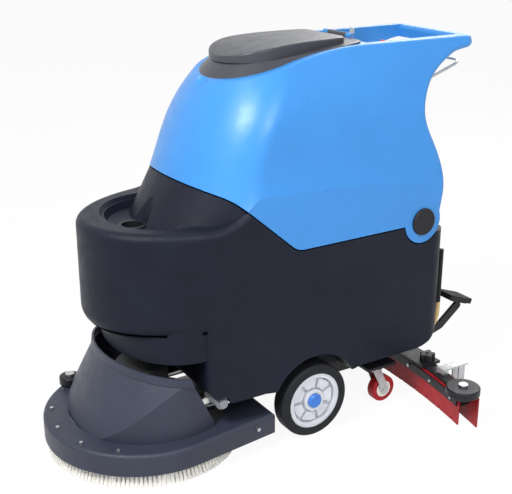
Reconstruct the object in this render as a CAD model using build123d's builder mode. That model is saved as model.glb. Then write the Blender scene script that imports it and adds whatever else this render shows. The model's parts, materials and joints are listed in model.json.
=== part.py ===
from build123d import *
import os
from math import acos, atan2, cos, hypot, pi, radians, sin, sqrt, tan

# Walk-behind battery floor scrubber with a disc brush and a curved squeegee.
# Millimetres. +X is forward, +Y the machine's left, +Z up, origin on the floor under its middle.
# Places along X are measured from the main axle, forward positive.

os.makedirs("parts", exist_ok=True)

# Fits
SEAT = 0.1  # between solids that sit together
RUN = 0.05  # radial clearance of a turning fit
AIR = 0.5  # between faces that pass each other

# Layout
BRUSH_AHEAD = 377
DECK_R = 252
PEDAL_BEHIND = 572
WHEEL_R = 100
WHEEL_FACE = 234
SIDES = (("left", 1), ("right", -1))

# Main wheels
TYRE_W = 46
TYRE_CORNER = 9
RIM_R = 76
RIM_W = 40
RIM_WALL = 12
HUB_R = 29
WEB_T = 10
WEDGE_GAP = 9  # between the raised sectors of the wheel's face
WEDGE_H = 8
WEDGE_COUNT = 7
WEDGE_EDGE = 5
CAP_R = 19
CAP_T = 7
CAP_BEVEL = 3
AXLE_R = 10
BEARING_R = 21
BEARING_W = 12

# Chassis
HULL_BOTTOM = 160
FRAME_H = 40
RAIL_Y = 150
RAIL_W = 30
RAIL_FRONT = 62
RAIL_REAR = 345
CROSS_X = 46
CROSS_W = 32
SQUEEGEE_CROSS_X = -150
PAD_T = 8
BRACKET_W = 44
LUG_T = 8
PIN_R = 8

# Casters
CASTER_X = -237
CASTER_Y = 173
CASTER_R = 37.5
CASTER_W = 26
CASTER_CORE_R = 23
CASTER_RIM = 4
CASTER_TRAIL = 30
CASTER_PLATE = (80, 64, 5)
RACE_R = 25
RACE_H = 7
FORK_T = 3.5
FORK_AIR = 3
CASTER_PIN_R = 6

# Solution tank, the lower moulding
HULL_REAR = 430
HULL_HALF = 228
HULL_CORNER = 50
HULL_SHOULDER = 170
HULL_FRONT_FACE = 300
HULL_CURL = 60
HULL_REAR_CURL = 95
CURL_OVERRUN = 2  # the rear curl leaves the rear face at an edge
HULL_REAR_TOP = 490
HULL_EDGE = 26
BULGE_FRONT = 514
BULGE_FOOT_Z = 333
BULGE_ROUND = 52
PLINTH_FRONT = 456
PLINTH_HALF = 203
PLINTH_REAR = 250
PLINTH_Z = 280
RIM_Z = 606
RIM_ROUND = 20
RIM_FLAT_X = 285
SHOULDER_PEAK_X = 195
FULLNESS = 0.58
TANK_WALL = 8
ARCH_R = 130
ARCH_Y = 176
FENDER_R = 176
FENDER_OUT = 7
BAY_FRONT = 12
BAY_REAR = 262
BAY_HALF = 164
BAY_FLOOR = 190
JACKET_FLOOR = 250
TRAY_FLOOR = 578
TRAY_FRONT = 446
TRAY_HALF = 150
TRAY_DRAFT = 12
FILLER_X = 384
FILLER_R = 30
SCALLOP_R = 37  # the hollow in the neck over the filler
SCALLOP_LEAN = 30
SCALLOP_TOP = 660
NECK_INSET = 3

# Seam between the two tanks, and the hinge at its rear
SEAM_GAP = 4
SEAM_FRONT = (330, 702)
SEAM_STEP = (225, 664)
SEAM_REAR_X = 56
SEAM_Z = 517
SEAM_STEP_BEND = 110
SEAM_REAR_BEND = 50
PIVOT_X = -336
PIVOT_Z = 526
EAR_R = 58
LUG_IN = 150
LUG_OUT = 174
LUG_R = 40
HINGE_PIN_R = 12
HINGE_CAP_R = 36
HINGE_CAP_T = 7

# Recovery tank, the upper moulding: level, half width, half width at the handle, front, shoulder
TANK_SECTIONS = (
    (455, 228, 226, 455, 190),
    (690, 224, 220, 295, 150),
    (800, 216, 204, 250, 118),
    (880, 196, 184, 207, 75),
    (940, 160, 166, 164, 40),
    (1000, 132, 146, 120, 10),
)
TANK_FULLNESS = 0.53
TANK_CORNER = 30
HANDLE_TOP = 982
TOP_LINE = ((-200, HANDLE_TOP), (-60, HANDLE_TOP), (60, 950), (280, 884))
HANDLE_BACK = 548
HANDLE_BAR_BOTTOM = 954
HANDLE_BAR = 34
LOOP_HALF = 118
LOOP_FRONT = 408
TOP_EDGE = 12
TANK_BACK = ((-406, 625), (-372, 730), (-347, 806), (-360, 854), (-402, 902), (-466, 938))
PANEL_FRONT_X = -215
PANEL_FRONT_Z = 976
PANEL_REAR_Z = 932
PANEL_T = 5
CAVITY_REAR = -110
CAVITY_TOP = 908
CAVITY_TOP_REAR = 946
CAVITY_NOSE = 723
MOUTH_REAR = -40
MOUTH_FRONT = 138
MOUTH_HALF = 104
FINGER_R = 40  # the hollow under the lid's front
FINGER_PLACE = (207, 933)

# Lid
LID_FRONT = 178
LID_REAR = 206
LID_HALF = 142
LID_HALF_REAR = 124
LID_T = 8
LID_BASE_Z = 953
LID_SLOPE = 0.223
LID_SKIRT_H = 34
LID_SKIRT_IN = 45
LID_DISC_IN = 30
LID_LIP = (150, 951)
LID_LIP_T = 13
LID_LIP_SLOPE = 0.104
LID_CROWN = (-127, 996)
LID_LIP_ROUND = 4
LID_HOLLOW_IN = 46
LID_WALL = 4
LID_PIN_X = -214.5
LID_PIN_R = 4
LID_KNUCKLE_R = 7.5
LID_KNUCKLE_HALF = 38
LID_EAR_W = 20

# Controls
STOP_X = -345
STOP_Y = 30
STOP_R = 16
STOP_STEM_R = 8
STOP_TRAVEL = 5
KEY_X = -300
KEY_Y = -62
KEY_R = 9
BAIL_R = 4
BAIL_Y = 126
BAIL_PIVOT_X = -380
BAIL_PIVOT_Z = 864
BAIL_BACK_X = -529
BAIL_BACK_Z = 913
BAIL_BEND = 30

# Vacuum motor and float
VACUUM_X = -200
VACUUM_R = 80
VACUUM_H = 140
VACUUM_TOP = 720
FLOAT_X = -76
FLOAT_R = 29
FLOAT_H = 95

# Batteries
BATTERY = (260, 155, 220)
BATTERY_AIR = 3
POST_R = 8
POST_H = 14
CABLE_R = 6

# Brush deck
DECK_LIP_Z = 38
DECK_TOP = 94
DECK_WALL = 5
DECK_CEILING = 88
DECK_EDGE = 10
SKIRT_REAR = 115
SKIRT_HALF = 222
TOWER_X = 358
TOWER_R = 212
TOWER_DRAFT = 8
RIM_PLACE = (330, 244)
RIM_SIZE = (156, 212)
RIM_SLOPE = 0.166
COLLAR_H = 20
COLLAR_STEP = 3
CONE_SPREAD = 75
TOWER_CUT = ((268, 88), (355, 265))
PLATE_R = 222
PLATE_T = 5
ARM_Y = 100
ARM_T = 8
ARM_R = 14
ARM_REAR = (85, 125)
ARM_FRONT = (275, 115)
NOTCH_HALF = 12
MOTOR_R = 68
MOTOR_TOP = 220
MOTOR_FLANGE = (85, 9)
DRIVE_R = 60
DRIVE_T = 20
SHAFT_R = 12
BLOCK_R = 234
BLOCK_STEP_R = 148
BLOCK_T = 20
BLOCK_HOLE_R = 70
BRISTLE_R = 246
BRISTLE_H = 36
BRISTLE_BACK = 3
BRISTLE_W = 9
BRISTLE_RINGS = ((227, 138), (210, 118), (193, 98))
ROLLER_PLACE = (495, -201)
ROLLER_R = 28
ROLLER_H = 24
DECK_SCREW_R = 5
DECK_SCREW_RING = 231

# Pedal
PEDAL_Y = 176
PEDAL_T = 8
PEDAL_PIVOT = (-325, 140)
PEDAL_KNEE = (-470, 180)
PEDAL_R = 12
PEDAL_PAD = (86, 70, 14)
PEDAL_PAD_Y = 165
PEDAL_PAD_Z = 250
PEDAL_PAD_TILT = 20

# Squeegee, as arcs about one point ahead of the machine
SQUEEGEE_X = -416
SQUEEGEE_R = 1850
HOLDER_T = 36
HOLDER_Z = (48, 90)
HOLDER_HALF = 386
BLADE_T = 4
FRONT_BLADE_HALF = 394
REAR_BLADE_HALF = 430
FRONT_BLADE_TOP = 82
REAR_BLADE_TOP = 86
STRAP_T = 4
STRAP_Z = (54, 77)
BOLT_R = 5
BOLT_H = 4
BOLT_COUNT = 8
BLADE_NOTCH = 12
NOTCH_COUNT = 13
KNOB_Y = 204
KNOB_R = 22
KNOB_Z = (98, 119)
STUD_R = 5
GUIDE_Y = 402
GUIDE_R = 45
GUIDE_Z = (97, 119)
GUIDE_BOLT_R = 6
SUPPORT_Y = 280
SUPPORT_R = 22
SUPPORT_W = 20
SUPPORT_X = -453
SUPPORT_TOP = (104, 109)
SUPPORT_T = 3
ARM_BAR_Y = 60
ARM_PIVOT_Z = 100
BAR_R = 12
ARM_PLATE_T = 8
HOLDER_WALL = 6
PORT_R = 18
PORT_WALL = 3

# Squeegee lever
LEVER_PIVOT = (-325, 140)
LEVER_Y = -174
LEVER_R = 6
LEVER_KNEE = (-458, 188)
LEVER_TIP = (-474, 400)
GRIP_R = 15

# Suction hose from the squeegee to the recovery tank: route points beside the axle, left, up
HOSE_R = 23
HOSE_BORE_R = 18
HOSE_PITCH = 12
HOSE_GROOVE = 3
HOSE_ROUTE = (
    (-424, 0, 124),
    (-450, 0, 202),
    (-474, 30, 280),
    (-480, 66, 358),
    (-480, 96, 436),
    (-466, 105, 505),
    (-426, 105, 574),
)

# Level hose up the rear of the solution tank, and the supply hose
LEVEL_R = 7
LEVEL_Y = 196
SUPPLY_R = 8
FILTER_R = 16
FILTER_X = 262
FILTER_Z = 160
FILTER_Y = (150, 212)
FILTER_NIPPLE_Y = 180
SUPPLY_END = (328, 168, 100)
LEVEL_FRONT_X = -300
LEVEL_TOP_Z = 420

AXLE_X = (PEDAL_BEHIND - BRUSH_AHEAD - DECK_R) / 2
WHEEL_Y = WHEEL_FACE - TYRE_W / 2
FRAME_BOTTOM = HULL_BOTTOM - FRAME_H
REACH = 2 * BRUSH_AHEAD
DATUM = (AXLE_X, 0, 0)
FLOOR = Plane(origin=DATUM)
SIDE = Plane(origin=DATUM, x_dir=(1, 0, 0), z_dir=(0, -1, 0))


def level(z):
    """Horizontal plane at height z, with the axle at its zero."""
    return FLOOR.offset(z)


def aside(y):
    """Upright fore-and-aft plane, y to the left of the middle."""
    return SIDE.offset(-y)


def across(x, y, z):
    """Upright plane through a point, its first direction to the left and its second up."""
    return Plane(origin=(AXLE_X + x, y, z), x_dir=(0, 1, 0), z_dir=(1, 0, 0))


def y_axis(x, z):
    return Axis((AXLE_X + x, 0, z), (0, 1, 0))


def z_axis(x, y):
    return Axis((AXLE_X + x, y, 0), (0, 0, 1))


def disc(plane, place, radius, hole=0):
    with BuildSketch(plane) as face:
        with Locations(place):
            Circle(radius)
            if hole:
                Circle(hole, mode=Mode.SUBTRACT)
    return face.sketch


def block(plane, start, end):
    with BuildSketch(plane) as face:
        with Locations(((start[0] + end[0]) / 2, (start[1] + end[1]) / 2)):
            Rectangle(abs(end[0] - start[0]), abs(end[1] - start[1]))
    return face.sketch


def outline(plane, *points):
    with BuildSketch(plane) as face:
        with BuildLine():
            Polyline(*points, close=True)
        make_face()
    return face.sketch


def link(plane, start, end, radius):
    """Flat bar with round ends."""
    with BuildSketch(plane) as face:
        with BuildLine():
            Line(start, end)
        trace(line_width=2 * radius)
        with Locations(start, end):
            Circle(radius)
    return face.sketch


def save(name, builder):
    builder.part.label = name
    export_step(builder.part, f"parts/{name}.step")


def tank_outline(plane, rear, front, half, half_rear, shoulder, corner, fullness):
    """Plan of a moulded tank: straight sides that close in to the rear, and a full rounded front."""
    flare = (half - half_rear) / (shoulder + rear)
    reach = fullness * (front - shoulder)
    with BuildSketch(plane) as plan:
        with BuildLine():
            FilletPolyline((-rear, 0), (-rear, half_rear), (shoulder, half), radius=corner)
            Bezier(
                (shoulder, half),
                (shoulder + reach, half + flare * reach),
                (front, fullness * half),
                (front, 0),
            )
            mirror(about=Plane.XZ)
        make_face()
    return plan.sketch


def hull_plan(z, inset=0):
    half = HULL_HALF - inset
    return tank_outline(
        level(z), HULL_REAR - inset, BULGE_FRONT - inset, half, half, HULL_SHOULDER, HULL_CORNER, FULLNESS
    )


def tank_plans(inset=0):
    return [
        tank_outline(
            level(z),
            HANDLE_BACK,
            front - inset,
            half - inset,
            half_rear - inset,
            shoulder,
            TANK_CORNER,
            TANK_FULLNESS,
        )
        for z, half, half_rear, front, shoulder in TANK_SECTIONS
    ]


def on_circle(radius, z):
    """Forward place where a circle about the tank hinge reaches height z."""
    return PIVOT_X + sqrt(radius**2 - (z - PIVOT_Z) ** 2)


# Main wheels
for side_name, side in SIDES:
    wheel_mid = across(0, side * WHEEL_Y, WHEEL_R)
    wheel_out = Plane(
        origin=(AXLE_X, side * (WHEEL_Y + WEB_T / 2), WHEEL_R), x_dir=(1, 0, 0), z_dir=(0, side, 0)
    )
    with BuildPart() as tyre:
        with BuildSketch(wheel_mid):
            with Locations((0, (WHEEL_R + RIM_R + SEAT) / 2)):
                Rectangle(TYRE_W, WHEEL_R - RIM_R - SEAT)
            fillet(vertices().group_by(Axis.Y)[-1], TYRE_CORNER)
        revolve(axis=y_axis(0, WHEEL_R))
    save(f"{side_name}_tyre", tyre)

    with BuildPart() as rim:
        with BuildSketch(wheel_mid):
            with Locations((0, RIM_R - RIM_WALL / 2)):
                Rectangle(RIM_W, RIM_WALL)
            with Locations((0, (BEARING_R + RUN + HUB_R) / 2)):
                Rectangle(RIM_W, HUB_R - BEARING_R - RUN)
            with Locations((0, (HUB_R + RIM_R) / 2)):
                Rectangle(WEB_T, RIM_R - HUB_R)
        revolve(axis=y_axis(0, WHEEL_R))
        with BuildSketch(wheel_out):
            Circle(RIM_R - RIM_WALL - WEDGE_EDGE)
            Circle(HUB_R + WEDGE_EDGE, mode=Mode.SUBTRACT)
            with PolarLocations(RIM_R / 2, WEDGE_COUNT):
                Rectangle(RIM_R, WEDGE_GAP, mode=Mode.SUBTRACT)
            fillet(vertices(), WEDGE_EDGE / 2)
        extrude(amount=WEDGE_H)
    save(f"{side_name}_rim", rim)

    with BuildPart() as cap:
        seat = side * (RIM_W / 2 + SEAT)
        face = seat + side * CAP_T
        with BuildSketch(wheel_mid):
            with BuildLine():
                Polyline(
                    (seat, 0),
                    (seat, CAP_R),
                    (face - side * CAP_BEVEL, CAP_R),
                    (face, CAP_R - CAP_BEVEL),
                    (face, 0),
                    close=True,
                )
            make_face()
        revolve(axis=y_axis(0, WHEEL_R))
    save(f"{side_name}_hub_cap", cap)

with BuildPart() as wheel_axle:
    extrude(disc(SIDE, (0, WHEEL_R), AXLE_R), amount=WHEEL_Y + RIM_W / 2 - SEAT, both=True)
save("wheel_axle", wheel_axle)

with BuildPart() as wheel_bearings:
    for _, side in SIDES:
        for place in (-1, 1):
            middle = side * WHEEL_Y + place * (RIM_W - BEARING_W) / 2
            race = disc(aside(middle), (0, WHEEL_R), BEARING_R, AXLE_R + RUN)
            extrude(race, amount=BEARING_W / 2, both=True)
save("wheel_bearings", wheel_bearings)

# Chassis: two rails, cross members, caster pads, axle brackets and lugs
with BuildPart() as chassis_frame:
    for _, side in SIDES:
        rail_y = side * RAIL_Y
        rail_corners = ((-RAIL_REAR, rail_y - RAIL_W / 2), (RAIL_FRONT, rail_y + RAIL_W / 2))
        extrude(block(level(FRAME_BOTTOM), *rail_corners), amount=FRAME_H)
        extrude(
            block(
                level(FRAME_BOTTOM),
                (CASTER_X - CASTER_PLATE[0] / 2 - PAD_T, side * (CASTER_Y - CASTER_PLATE[1] / 2 - PAD_T)),
                (CASTER_X + CASTER_PLATE[0] / 2 + PAD_T, side * (CASTER_Y + CASTER_PLATE[1] / 2 + PAD_T)),
            ),
            amount=PAD_T,
        )
        bracket = outline(
            aside(rail_y),
            (-BRACKET_W, FRAME_BOTTOM + PAD_T),
            (-BRACKET_W / 2, WHEEL_R - 2 * AXLE_R),
            (BRACKET_W / 2, WHEEL_R - 2 * AXLE_R),
            (BRACKET_W, FRAME_BOTTOM + PAD_T),
        )
        extrude(bracket, amount=LUG_T, both=True)
        lug_y = side * (ARM_Y + ARM_T / 2 + AIR + LUG_T / 2)
        lug_corners = ((CROSS_X, FRAME_BOTTOM - PIN_R), (ARM_REAR[0], FRAME_BOTTOM + FRAME_H))
        extrude(block(aside(lug_y), *lug_corners), amount=LUG_T / 2, both=True)
        extrude(disc(aside(lug_y), ARM_REAR, ARM_R), amount=LUG_T / 2, both=True)
        bar_y = side * (ARM_BAR_Y + ARM_T / 2 + AIR + LUG_T / 2)
        extrude(
            block(
                aside(bar_y),
                (SQUEEGEE_CROSS_X - ARM_R, ARM_PIVOT_Z - ARM_R),
                (SQUEEGEE_CROSS_X + ARM_R, FRAME_BOTTOM + PAD_T),
            ),
            amount=LUG_T / 2,
            both=True,
        )
    for middle, width in ((CROSS_X, CROSS_W), (SQUEEGEE_CROSS_X, CROSS_W)):
        beam = block(level(FRAME_BOTTOM), (middle - width / 2, -RAIL_Y), (middle + width / 2, RAIL_Y))
        extrude(beam, amount=FRAME_H)
    extrude(disc(SIDE, (0, WHEEL_R), AXLE_R + RUN), amount=REACH, both=True, mode=Mode.SUBTRACT)
    extrude(disc(SIDE, ARM_REAR, PIN_R + RUN), amount=REACH, both=True, mode=Mode.SUBTRACT)
    pin_hole = disc(SIDE, (SQUEEGEE_CROSS_X, ARM_PIVOT_Z), PIN_R + RUN)
    extrude(pin_hole, amount=REACH, both=True, mode=Mode.SUBTRACT)
    extrude(disc(SIDE, PEDAL_PIVOT, PIN_R + RUN), amount=REACH, both=True, mode=Mode.SUBTRACT)
save("chassis_frame", chassis_frame)

# Pins of the tank hinge, the deck arms, the squeegee arm, the pedal and the lever
with BuildPart() as pivot_pins:
    for _, side in SIDES:
        tank_pin = disc(aside(side * LUG_IN), (PIVOT_X, PIVOT_Z), HINGE_PIN_R)
        extrude(tank_pin, amount=-side * (HULL_HALF - LUG_IN - SEAT))
        arm_pin = disc(aside(side * (ARM_Y - ARM_T / 2 - AIR)), ARM_REAR, PIN_R)
        extrude(arm_pin, amount=-side * (ARM_T + 2 * AIR + LUG_T))
        bar_pin = disc(aside(side * (ARM_BAR_Y - ARM_T / 2 - AIR)), (SQUEEGEE_CROSS_X, ARM_PIVOT_Z), PIN_R)
        extrude(bar_pin, amount=-side * (ARM_T + 2 * AIR + LUG_T))
    pedal_pin = disc(aside(RAIL_Y - RAIL_W / 2), PEDAL_PIVOT, PIN_R)
    extrude(pedal_pin, amount=-(PEDAL_Y + PEDAL_T / 2 + AIR - RAIL_Y + RAIL_W / 2))
    lever_pin = disc(aside(-RAIL_Y + RAIL_W / 2), LEVER_PIVOT, PIN_R)
    extrude(lever_pin, amount=-LEVER_Y + PEDAL_T / 2 + AIR - RAIL_Y + RAIL_W / 2)
save("pivot_pins", pivot_pins)

# Casters: plate with race and king pin, fork with riveted axle, white core, red tread
CASTER_HALF = CASTER_W / 2 + FORK_AIR
PLATE_BOTTOM = FRAME_BOTTOM - CASTER_PLATE[2]
RACE_BOTTOM = PLATE_BOTTOM - RACE_H
FORK_TOP = RACE_BOTTOM - AIR
CASTER_AXLE_X = CASTER_X - CASTER_TRAIL
with BuildPart() as caster_plates:
    for _, side in SIDES:
        place = (CASTER_X, side * CASTER_Y)
        with BuildSketch(level(PLATE_BOTTOM)):
            with Locations(place):
                RectangleRounded(CASTER_PLATE[0], CASTER_PLATE[1], CASTER_PLATE[2])
        extrude(amount=CASTER_PLATE[2])
        extrude(disc(level(RACE_BOTTOM), place, RACE_R), amount=RACE_H)
        extrude(disc(level(FORK_TOP - FORK_T - AIR), place, CASTER_PIN_R), amount=FORK_T + 2 * AIR)
        extrude(disc(level(FORK_TOP - 2 * FORK_T - AIR), place, 2 * CASTER_PIN_R), amount=FORK_T)
save("caster_plates", caster_plates)

for side_name, side in SIDES:
    place = (CASTER_X, side * CASTER_Y)
    with BuildPart() as fork:
        with BuildSketch(level(FORK_TOP - FORK_T)):
            with Locations(place):
                Circle(RACE_R)
                Rectangle(2 * RACE_R, 2 * (CASTER_HALF + FORK_T), mode=Mode.INTERSECT)
                Circle(CASTER_PIN_R + RUN, mode=Mode.SUBTRACT)
        extrude(amount=FORK_T)
        for cheek in (-1, 1):
            cheek_mid = side * CASTER_Y + cheek * (CASTER_HALF + FORK_T / 2)
            foot = (CASTER_AXLE_X, CASTER_R)
            with BuildSketch(aside(cheek_mid)):
                with BuildLine():
                    Polyline(
                        (CASTER_X - RACE_R / 2, FORK_TOP),
                        (CASTER_X + RACE_R / 2, FORK_TOP),
                        (CASTER_AXLE_X + 2 * CASTER_PIN_R, CASTER_R),
                        (CASTER_AXLE_X - 2 * CASTER_PIN_R, CASTER_R),
                        close=True,
                    )
                make_face()
                with Locations(foot):
                    Circle(2 * CASTER_PIN_R)
            extrude(amount=FORK_T / 2, both=True)
        extrude(disc(aside(side * CASTER_Y), foot, CASTER_PIN_R), amount=CASTER_HALF + 2 * FORK_T, both=True)
    save(f"{side_name}_caster_fork", fork)

    with BuildPart() as core:
        core_face = disc(aside(side * CASTER_Y), foot, CASTER_CORE_R, CASTER_PIN_R + RUN)
        extrude(core_face, amount=CASTER_W / 2, both=True)
        for face_side in (-1, 1):
            face = aside(side * CASTER_Y + face_side * CASTER_W / 2)
            recess = disc(face, foot, CASTER_CORE_R - CASTER_RIM, 2 * CASTER_PIN_R)
            extrude(recess, amount=face_side * FORK_T, mode=Mode.SUBTRACT)
    save(f"{side_name}_caster_core", core)

    with BuildPart() as tread:
        with BuildSketch(across(CASTER_AXLE_X, side * CASTER_Y, CASTER_R)):
            with Locations((0, (CASTER_R + CASTER_CORE_R + SEAT) / 2)):
                Rectangle(CASTER_W, CASTER_R - CASTER_CORE_R - SEAT)
            fillet(vertices().group_by(Axis.Y)[-1], FORK_T)
        revolve(axis=y_axis(CASTER_AXLE_X, CASTER_R))
    save(f"{side_name}_caster_tread", tread)

# Solution tank: hull with front bulge, tray, neck under the upper tank, wheel arches and battery bay
NOTCH_R = EAR_R + SEAM_GAP
NOTCH_FRONT = (on_circle(NOTCH_R, SEAM_Z), SEAM_Z)
NOTCH_REAR = (2 * PIVOT_X - on_circle(NOTCH_R, HULL_REAR_TOP), HULL_REAR_TOP)
SEAM_SLOPE = (SEAM_STEP[1] - SEAM_Z) / (SEAM_STEP[0] - SEAM_REAR_X)
SHOULDER_PEAK = (SHOULDER_PEAK_X, SEAM_Z + SEAM_SLOPE * (SHOULDER_PEAK_X - SEAM_REAR_X))


def hull_side():
    """Side view of the hull behind its bulge: rear curl, bottom, front face, rim, shoulder and ear notch."""
    rear = -HULL_REAR - CURL_OVERRUN
    curl_z = HULL_BOTTOM + HULL_REAR_CURL
    with BuildSketch(SIDE) as view:
        with BuildLine():
            Polyline((-REACH, HULL_REAR_TOP), (-REACH, curl_z), (rear, curl_z))
            RadiusArc((rear, curl_z), (rear + HULL_REAR_CURL, HULL_BOTTOM), -HULL_REAR_CURL)
            Line((rear + HULL_REAR_CURL, HULL_BOTTOM), (HULL_FRONT_FACE - HULL_CURL, HULL_BOTTOM))
            front_curl = (HULL_FRONT_FACE, HULL_BOTTOM + HULL_CURL)
            RadiusArc((HULL_FRONT_FACE - HULL_CURL, HULL_BOTTOM), front_curl, -HULL_CURL)
            Polyline(front_curl, (HULL_FRONT_FACE, RIM_Z), (RIM_FLAT_X, RIM_Z))
            Bezier(
                (RIM_FLAT_X, RIM_Z),
                (RIM_FLAT_X - HULL_CURL / 2, RIM_Z),
                (SHOULDER_PEAK_X + HULL_CURL / 2, RIM_Z + RIM_ROUND / 2),
                SHOULDER_PEAK,
            )
            FilletPolyline(SHOULDER_PEAK, (SEAM_REAR_X, SEAM_Z), NOTCH_FRONT, radius=SEAM_REAR_BEND)
            ThreePointArc(NOTCH_FRONT, (PIVOT_X, PIVOT_Z - NOTCH_R), NOTCH_REAR)
            Line(NOTCH_REAR, (-REACH, HULL_REAR_TOP))
        make_face()
    return view.sketch


def tray_plan(z, draft):
    half = TRAY_HALF - draft
    return tank_outline(
        level(z), -SHOULDER_PEAK_X, TRAY_FRONT - draft, half, half, HULL_FRONT_FACE, SEAT, FULLNESS
    )


def fender_face(y, radius):
    """Round plate about a main wheel, cut off level with the hull's bottom."""
    with BuildSketch(aside(y)) as face:
        with Locations((0, WHEEL_R)):
            Circle(radius)
        with Locations((0, HULL_BOTTOM + radius)):
            Rectangle(2 * radius, 2 * radius, mode=Mode.INTERSECT)
    return face.sketch


with BuildPart() as water_jacket:
    extrude(hull_plan(JACKET_FLOOR, TANK_WALL), amount=TRAY_FLOOR - TANK_WALL - JACKET_FLOOR)
    extrude(
        outline(
            SIDE,
            (-REACH, JACKET_FLOOR),
            (HULL_FRONT_FACE - TANK_WALL, JACKET_FLOOR),
            (HULL_FRONT_FACE - TANK_WALL, BULGE_FOOT_Z + 2 * TANK_WALL),
            (REACH, BULGE_FOOT_Z + 2 * TANK_WALL),
            (REACH, TRAY_FLOOR - TANK_WALL),
            (SEAM_REAR_X + HULL_CURL, TRAY_FLOOR - TANK_WALL),
            (SEAM_REAR_X, SEAM_Z - 2 * TANK_WALL),
            (-BAY_REAR + TANK_WALL, SEAM_Z - 2 * TANK_WALL),
            (-BAY_REAR - TANK_WALL, PIVOT_Z - NOTCH_R - 2 * TANK_WALL),
            (-REACH, PIVOT_Z - NOTCH_R - 2 * TANK_WALL),
        ),
        amount=HULL_HALF,
        both=True,
        mode=Mode.INTERSECT,
    )
    extrude(
        block(
            level(0),
            (-BAY_REAR - TANK_WALL, -BAY_HALF - TANK_WALL),
            (BAY_FRONT + TANK_WALL, BAY_HALF + TANK_WALL),
        ),
        amount=REACH,
        mode=Mode.SUBTRACT,
    )

with BuildPart() as bulge:
    extrude(hull_plan(BULGE_FOOT_Z), amount=RIM_Z - BULGE_FOOT_Z)
    ahead = block(level(BULGE_FOOT_Z), (PLINTH_REAR, -REACH), (REACH, REACH))
    extrude(ahead, amount=REACH, mode=Mode.INTERSECT)
    for place, radius in ((0, BULGE_ROUND), (-1, RIM_ROUND)):
        loop_edges = faces().sort_by(Axis.Z)[place].edges()
        fillet(loop_edges.filter_by(lambda edge: edge.center().X > AXLE_X + PLINTH_REAR + 1), radius)

hull_foot = level(HULL_BOTTOM - HULL_CURL)
hull_body = hull_plan(HULL_BOTTOM - HULL_CURL) & block(hull_foot, (-REACH, -REACH), (HULL_FRONT_FACE, REACH))
hull_body = fillet(hull_body.vertices().group_by(Axis.X)[-1], HULL_EDGE)
with BuildPart() as solution_tank:
    extrude(hull_body, amount=SEAM_FRONT[1])
    extrude(hull_side(), amount=HULL_HALF + AIR, both=True, mode=Mode.INTERSECT)
    side_edges = edges().filter_by(lambda edge: abs(edge.center().Y) > LUG_IN)
    rim_edges = side_edges.filter_by_position(Axis.Z, RIM_Z - 1, SHOULDER_PEAK[1] + 1)
    front_rim = rim_edges.filter_by(lambda edge: edge.center().X > AXLE_X + SHOULDER_PEAK_X + HULL_EDGE)
    fillet(front_rim, RIM_ROUND)
    add(bulge.part)
    loft(sections=[tray_plan(TRAY_FLOOR, TRAY_DRAFT), tray_plan(RIM_Z, 0)], mode=Mode.SUBTRACT)
    wide_tray = tray_plan(RIM_Z + HULL_CURL, -4 * TRAY_DRAFT)
    loft(sections=[tray_plan(RIM_Z - RIM_ROUND / 2, 0), wide_tray], mode=Mode.SUBTRACT)
    plinth = tank_outline(
        level(PLINTH_Z), -PLINTH_REAR, PLINTH_FRONT, PLINTH_HALF, PLINTH_HALF, HULL_FRONT_FACE, SEAT, FULLNESS
    )
    extrude(plinth, amount=BULGE_FOOT_Z + 2 * HULL_EDGE - PLINTH_Z)
    for _, side in SIDES:
        flare_in = fender_face(side * (HULL_HALF - FENDER_OUT), FENDER_R + FENDER_OUT)
        flare_out = fender_face(side * (HULL_HALF + FENDER_OUT), ARCH_R + FENDER_OUT)
        loft(sections=[flare_in, flare_out], ruled=True)
        arch = disc(aside(side * ARCH_Y), (0, WHEEL_R), ARCH_R)
        extrude(arch, amount=-side * HULL_HALF, mode=Mode.SUBTRACT)
    neck_foot_z = TRAY_FLOOR - TANK_WALL
    neck_foot = (SEAM_REAR_X + (neck_foot_z - SEAM_Z) / SEAM_SLOPE, neck_foot_z)
    with BuildSketch(SIDE) as neck_side:
        with BuildLine():
            FilletPolyline(SEAM_FRONT, SEAM_STEP, neck_foot, radius=SEAM_STEP_BEND)
            Polyline(neck_foot, (REACH, neck_foot_z), (REACH, SEAM_FRONT[1]), SEAM_FRONT)
        make_face()
    neck = loft(sections=tank_plans(NECK_INSET)[:2], ruled=True, mode=Mode.PRIVATE)
    add(neck & extrude(neck_side.sketch, amount=HULL_HALF, both=True, mode=Mode.PRIVATE))
    scallop = [
        disc(level(TRAY_FLOOR), (FILLER_X, 0), SCALLOP_R),
        disc(level(SCALLOP_TOP), (FILLER_X - SCALLOP_LEAN, 0), SCALLOP_R),
    ]
    loft(sections=scallop, ruled=True, mode=Mode.SUBTRACT)
    extrude(
        block(level(BAY_FLOOR), (-BAY_REAR, -BAY_HALF), (BAY_FRONT, BAY_HALF)),
        amount=REACH,
        mode=Mode.SUBTRACT,
    )
    add(water_jacket.part, mode=Mode.SUBTRACT)
    pocket = disc(aside(FILTER_Y[0] - SEAT), (FILTER_X, FILTER_Z), FILTER_R + 4 * AIR)
    extrude(pocket, amount=-HULL_HALF, mode=Mode.SUBTRACT)
    filler = disc(level(TRAY_FLOOR - 2 * TANK_WALL), (FILLER_X, 0), FILLER_R)
    extrude(filler, amount=3 * TANK_WALL, mode=Mode.SUBTRACT)
    for _, side in SIDES:
        lug_plane = aside(side * (LUG_IN + LUG_OUT) / 2)
        lug = link(lug_plane, (PIVOT_X, PIVOT_Z), (PIVOT_X, PIVOT_Z - NOTCH_R), LUG_R)
        extrude(lug, amount=(LUG_OUT - LUG_IN) / 2, both=True)
    hinge_hole = disc(SIDE, (PIVOT_X, PIVOT_Z), HINGE_PIN_R + RUN)
    extrude(hinge_hole, amount=LUG_OUT + AIR, both=True, mode=Mode.SUBTRACT)
save("solution_tank", solution_tank)

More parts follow.
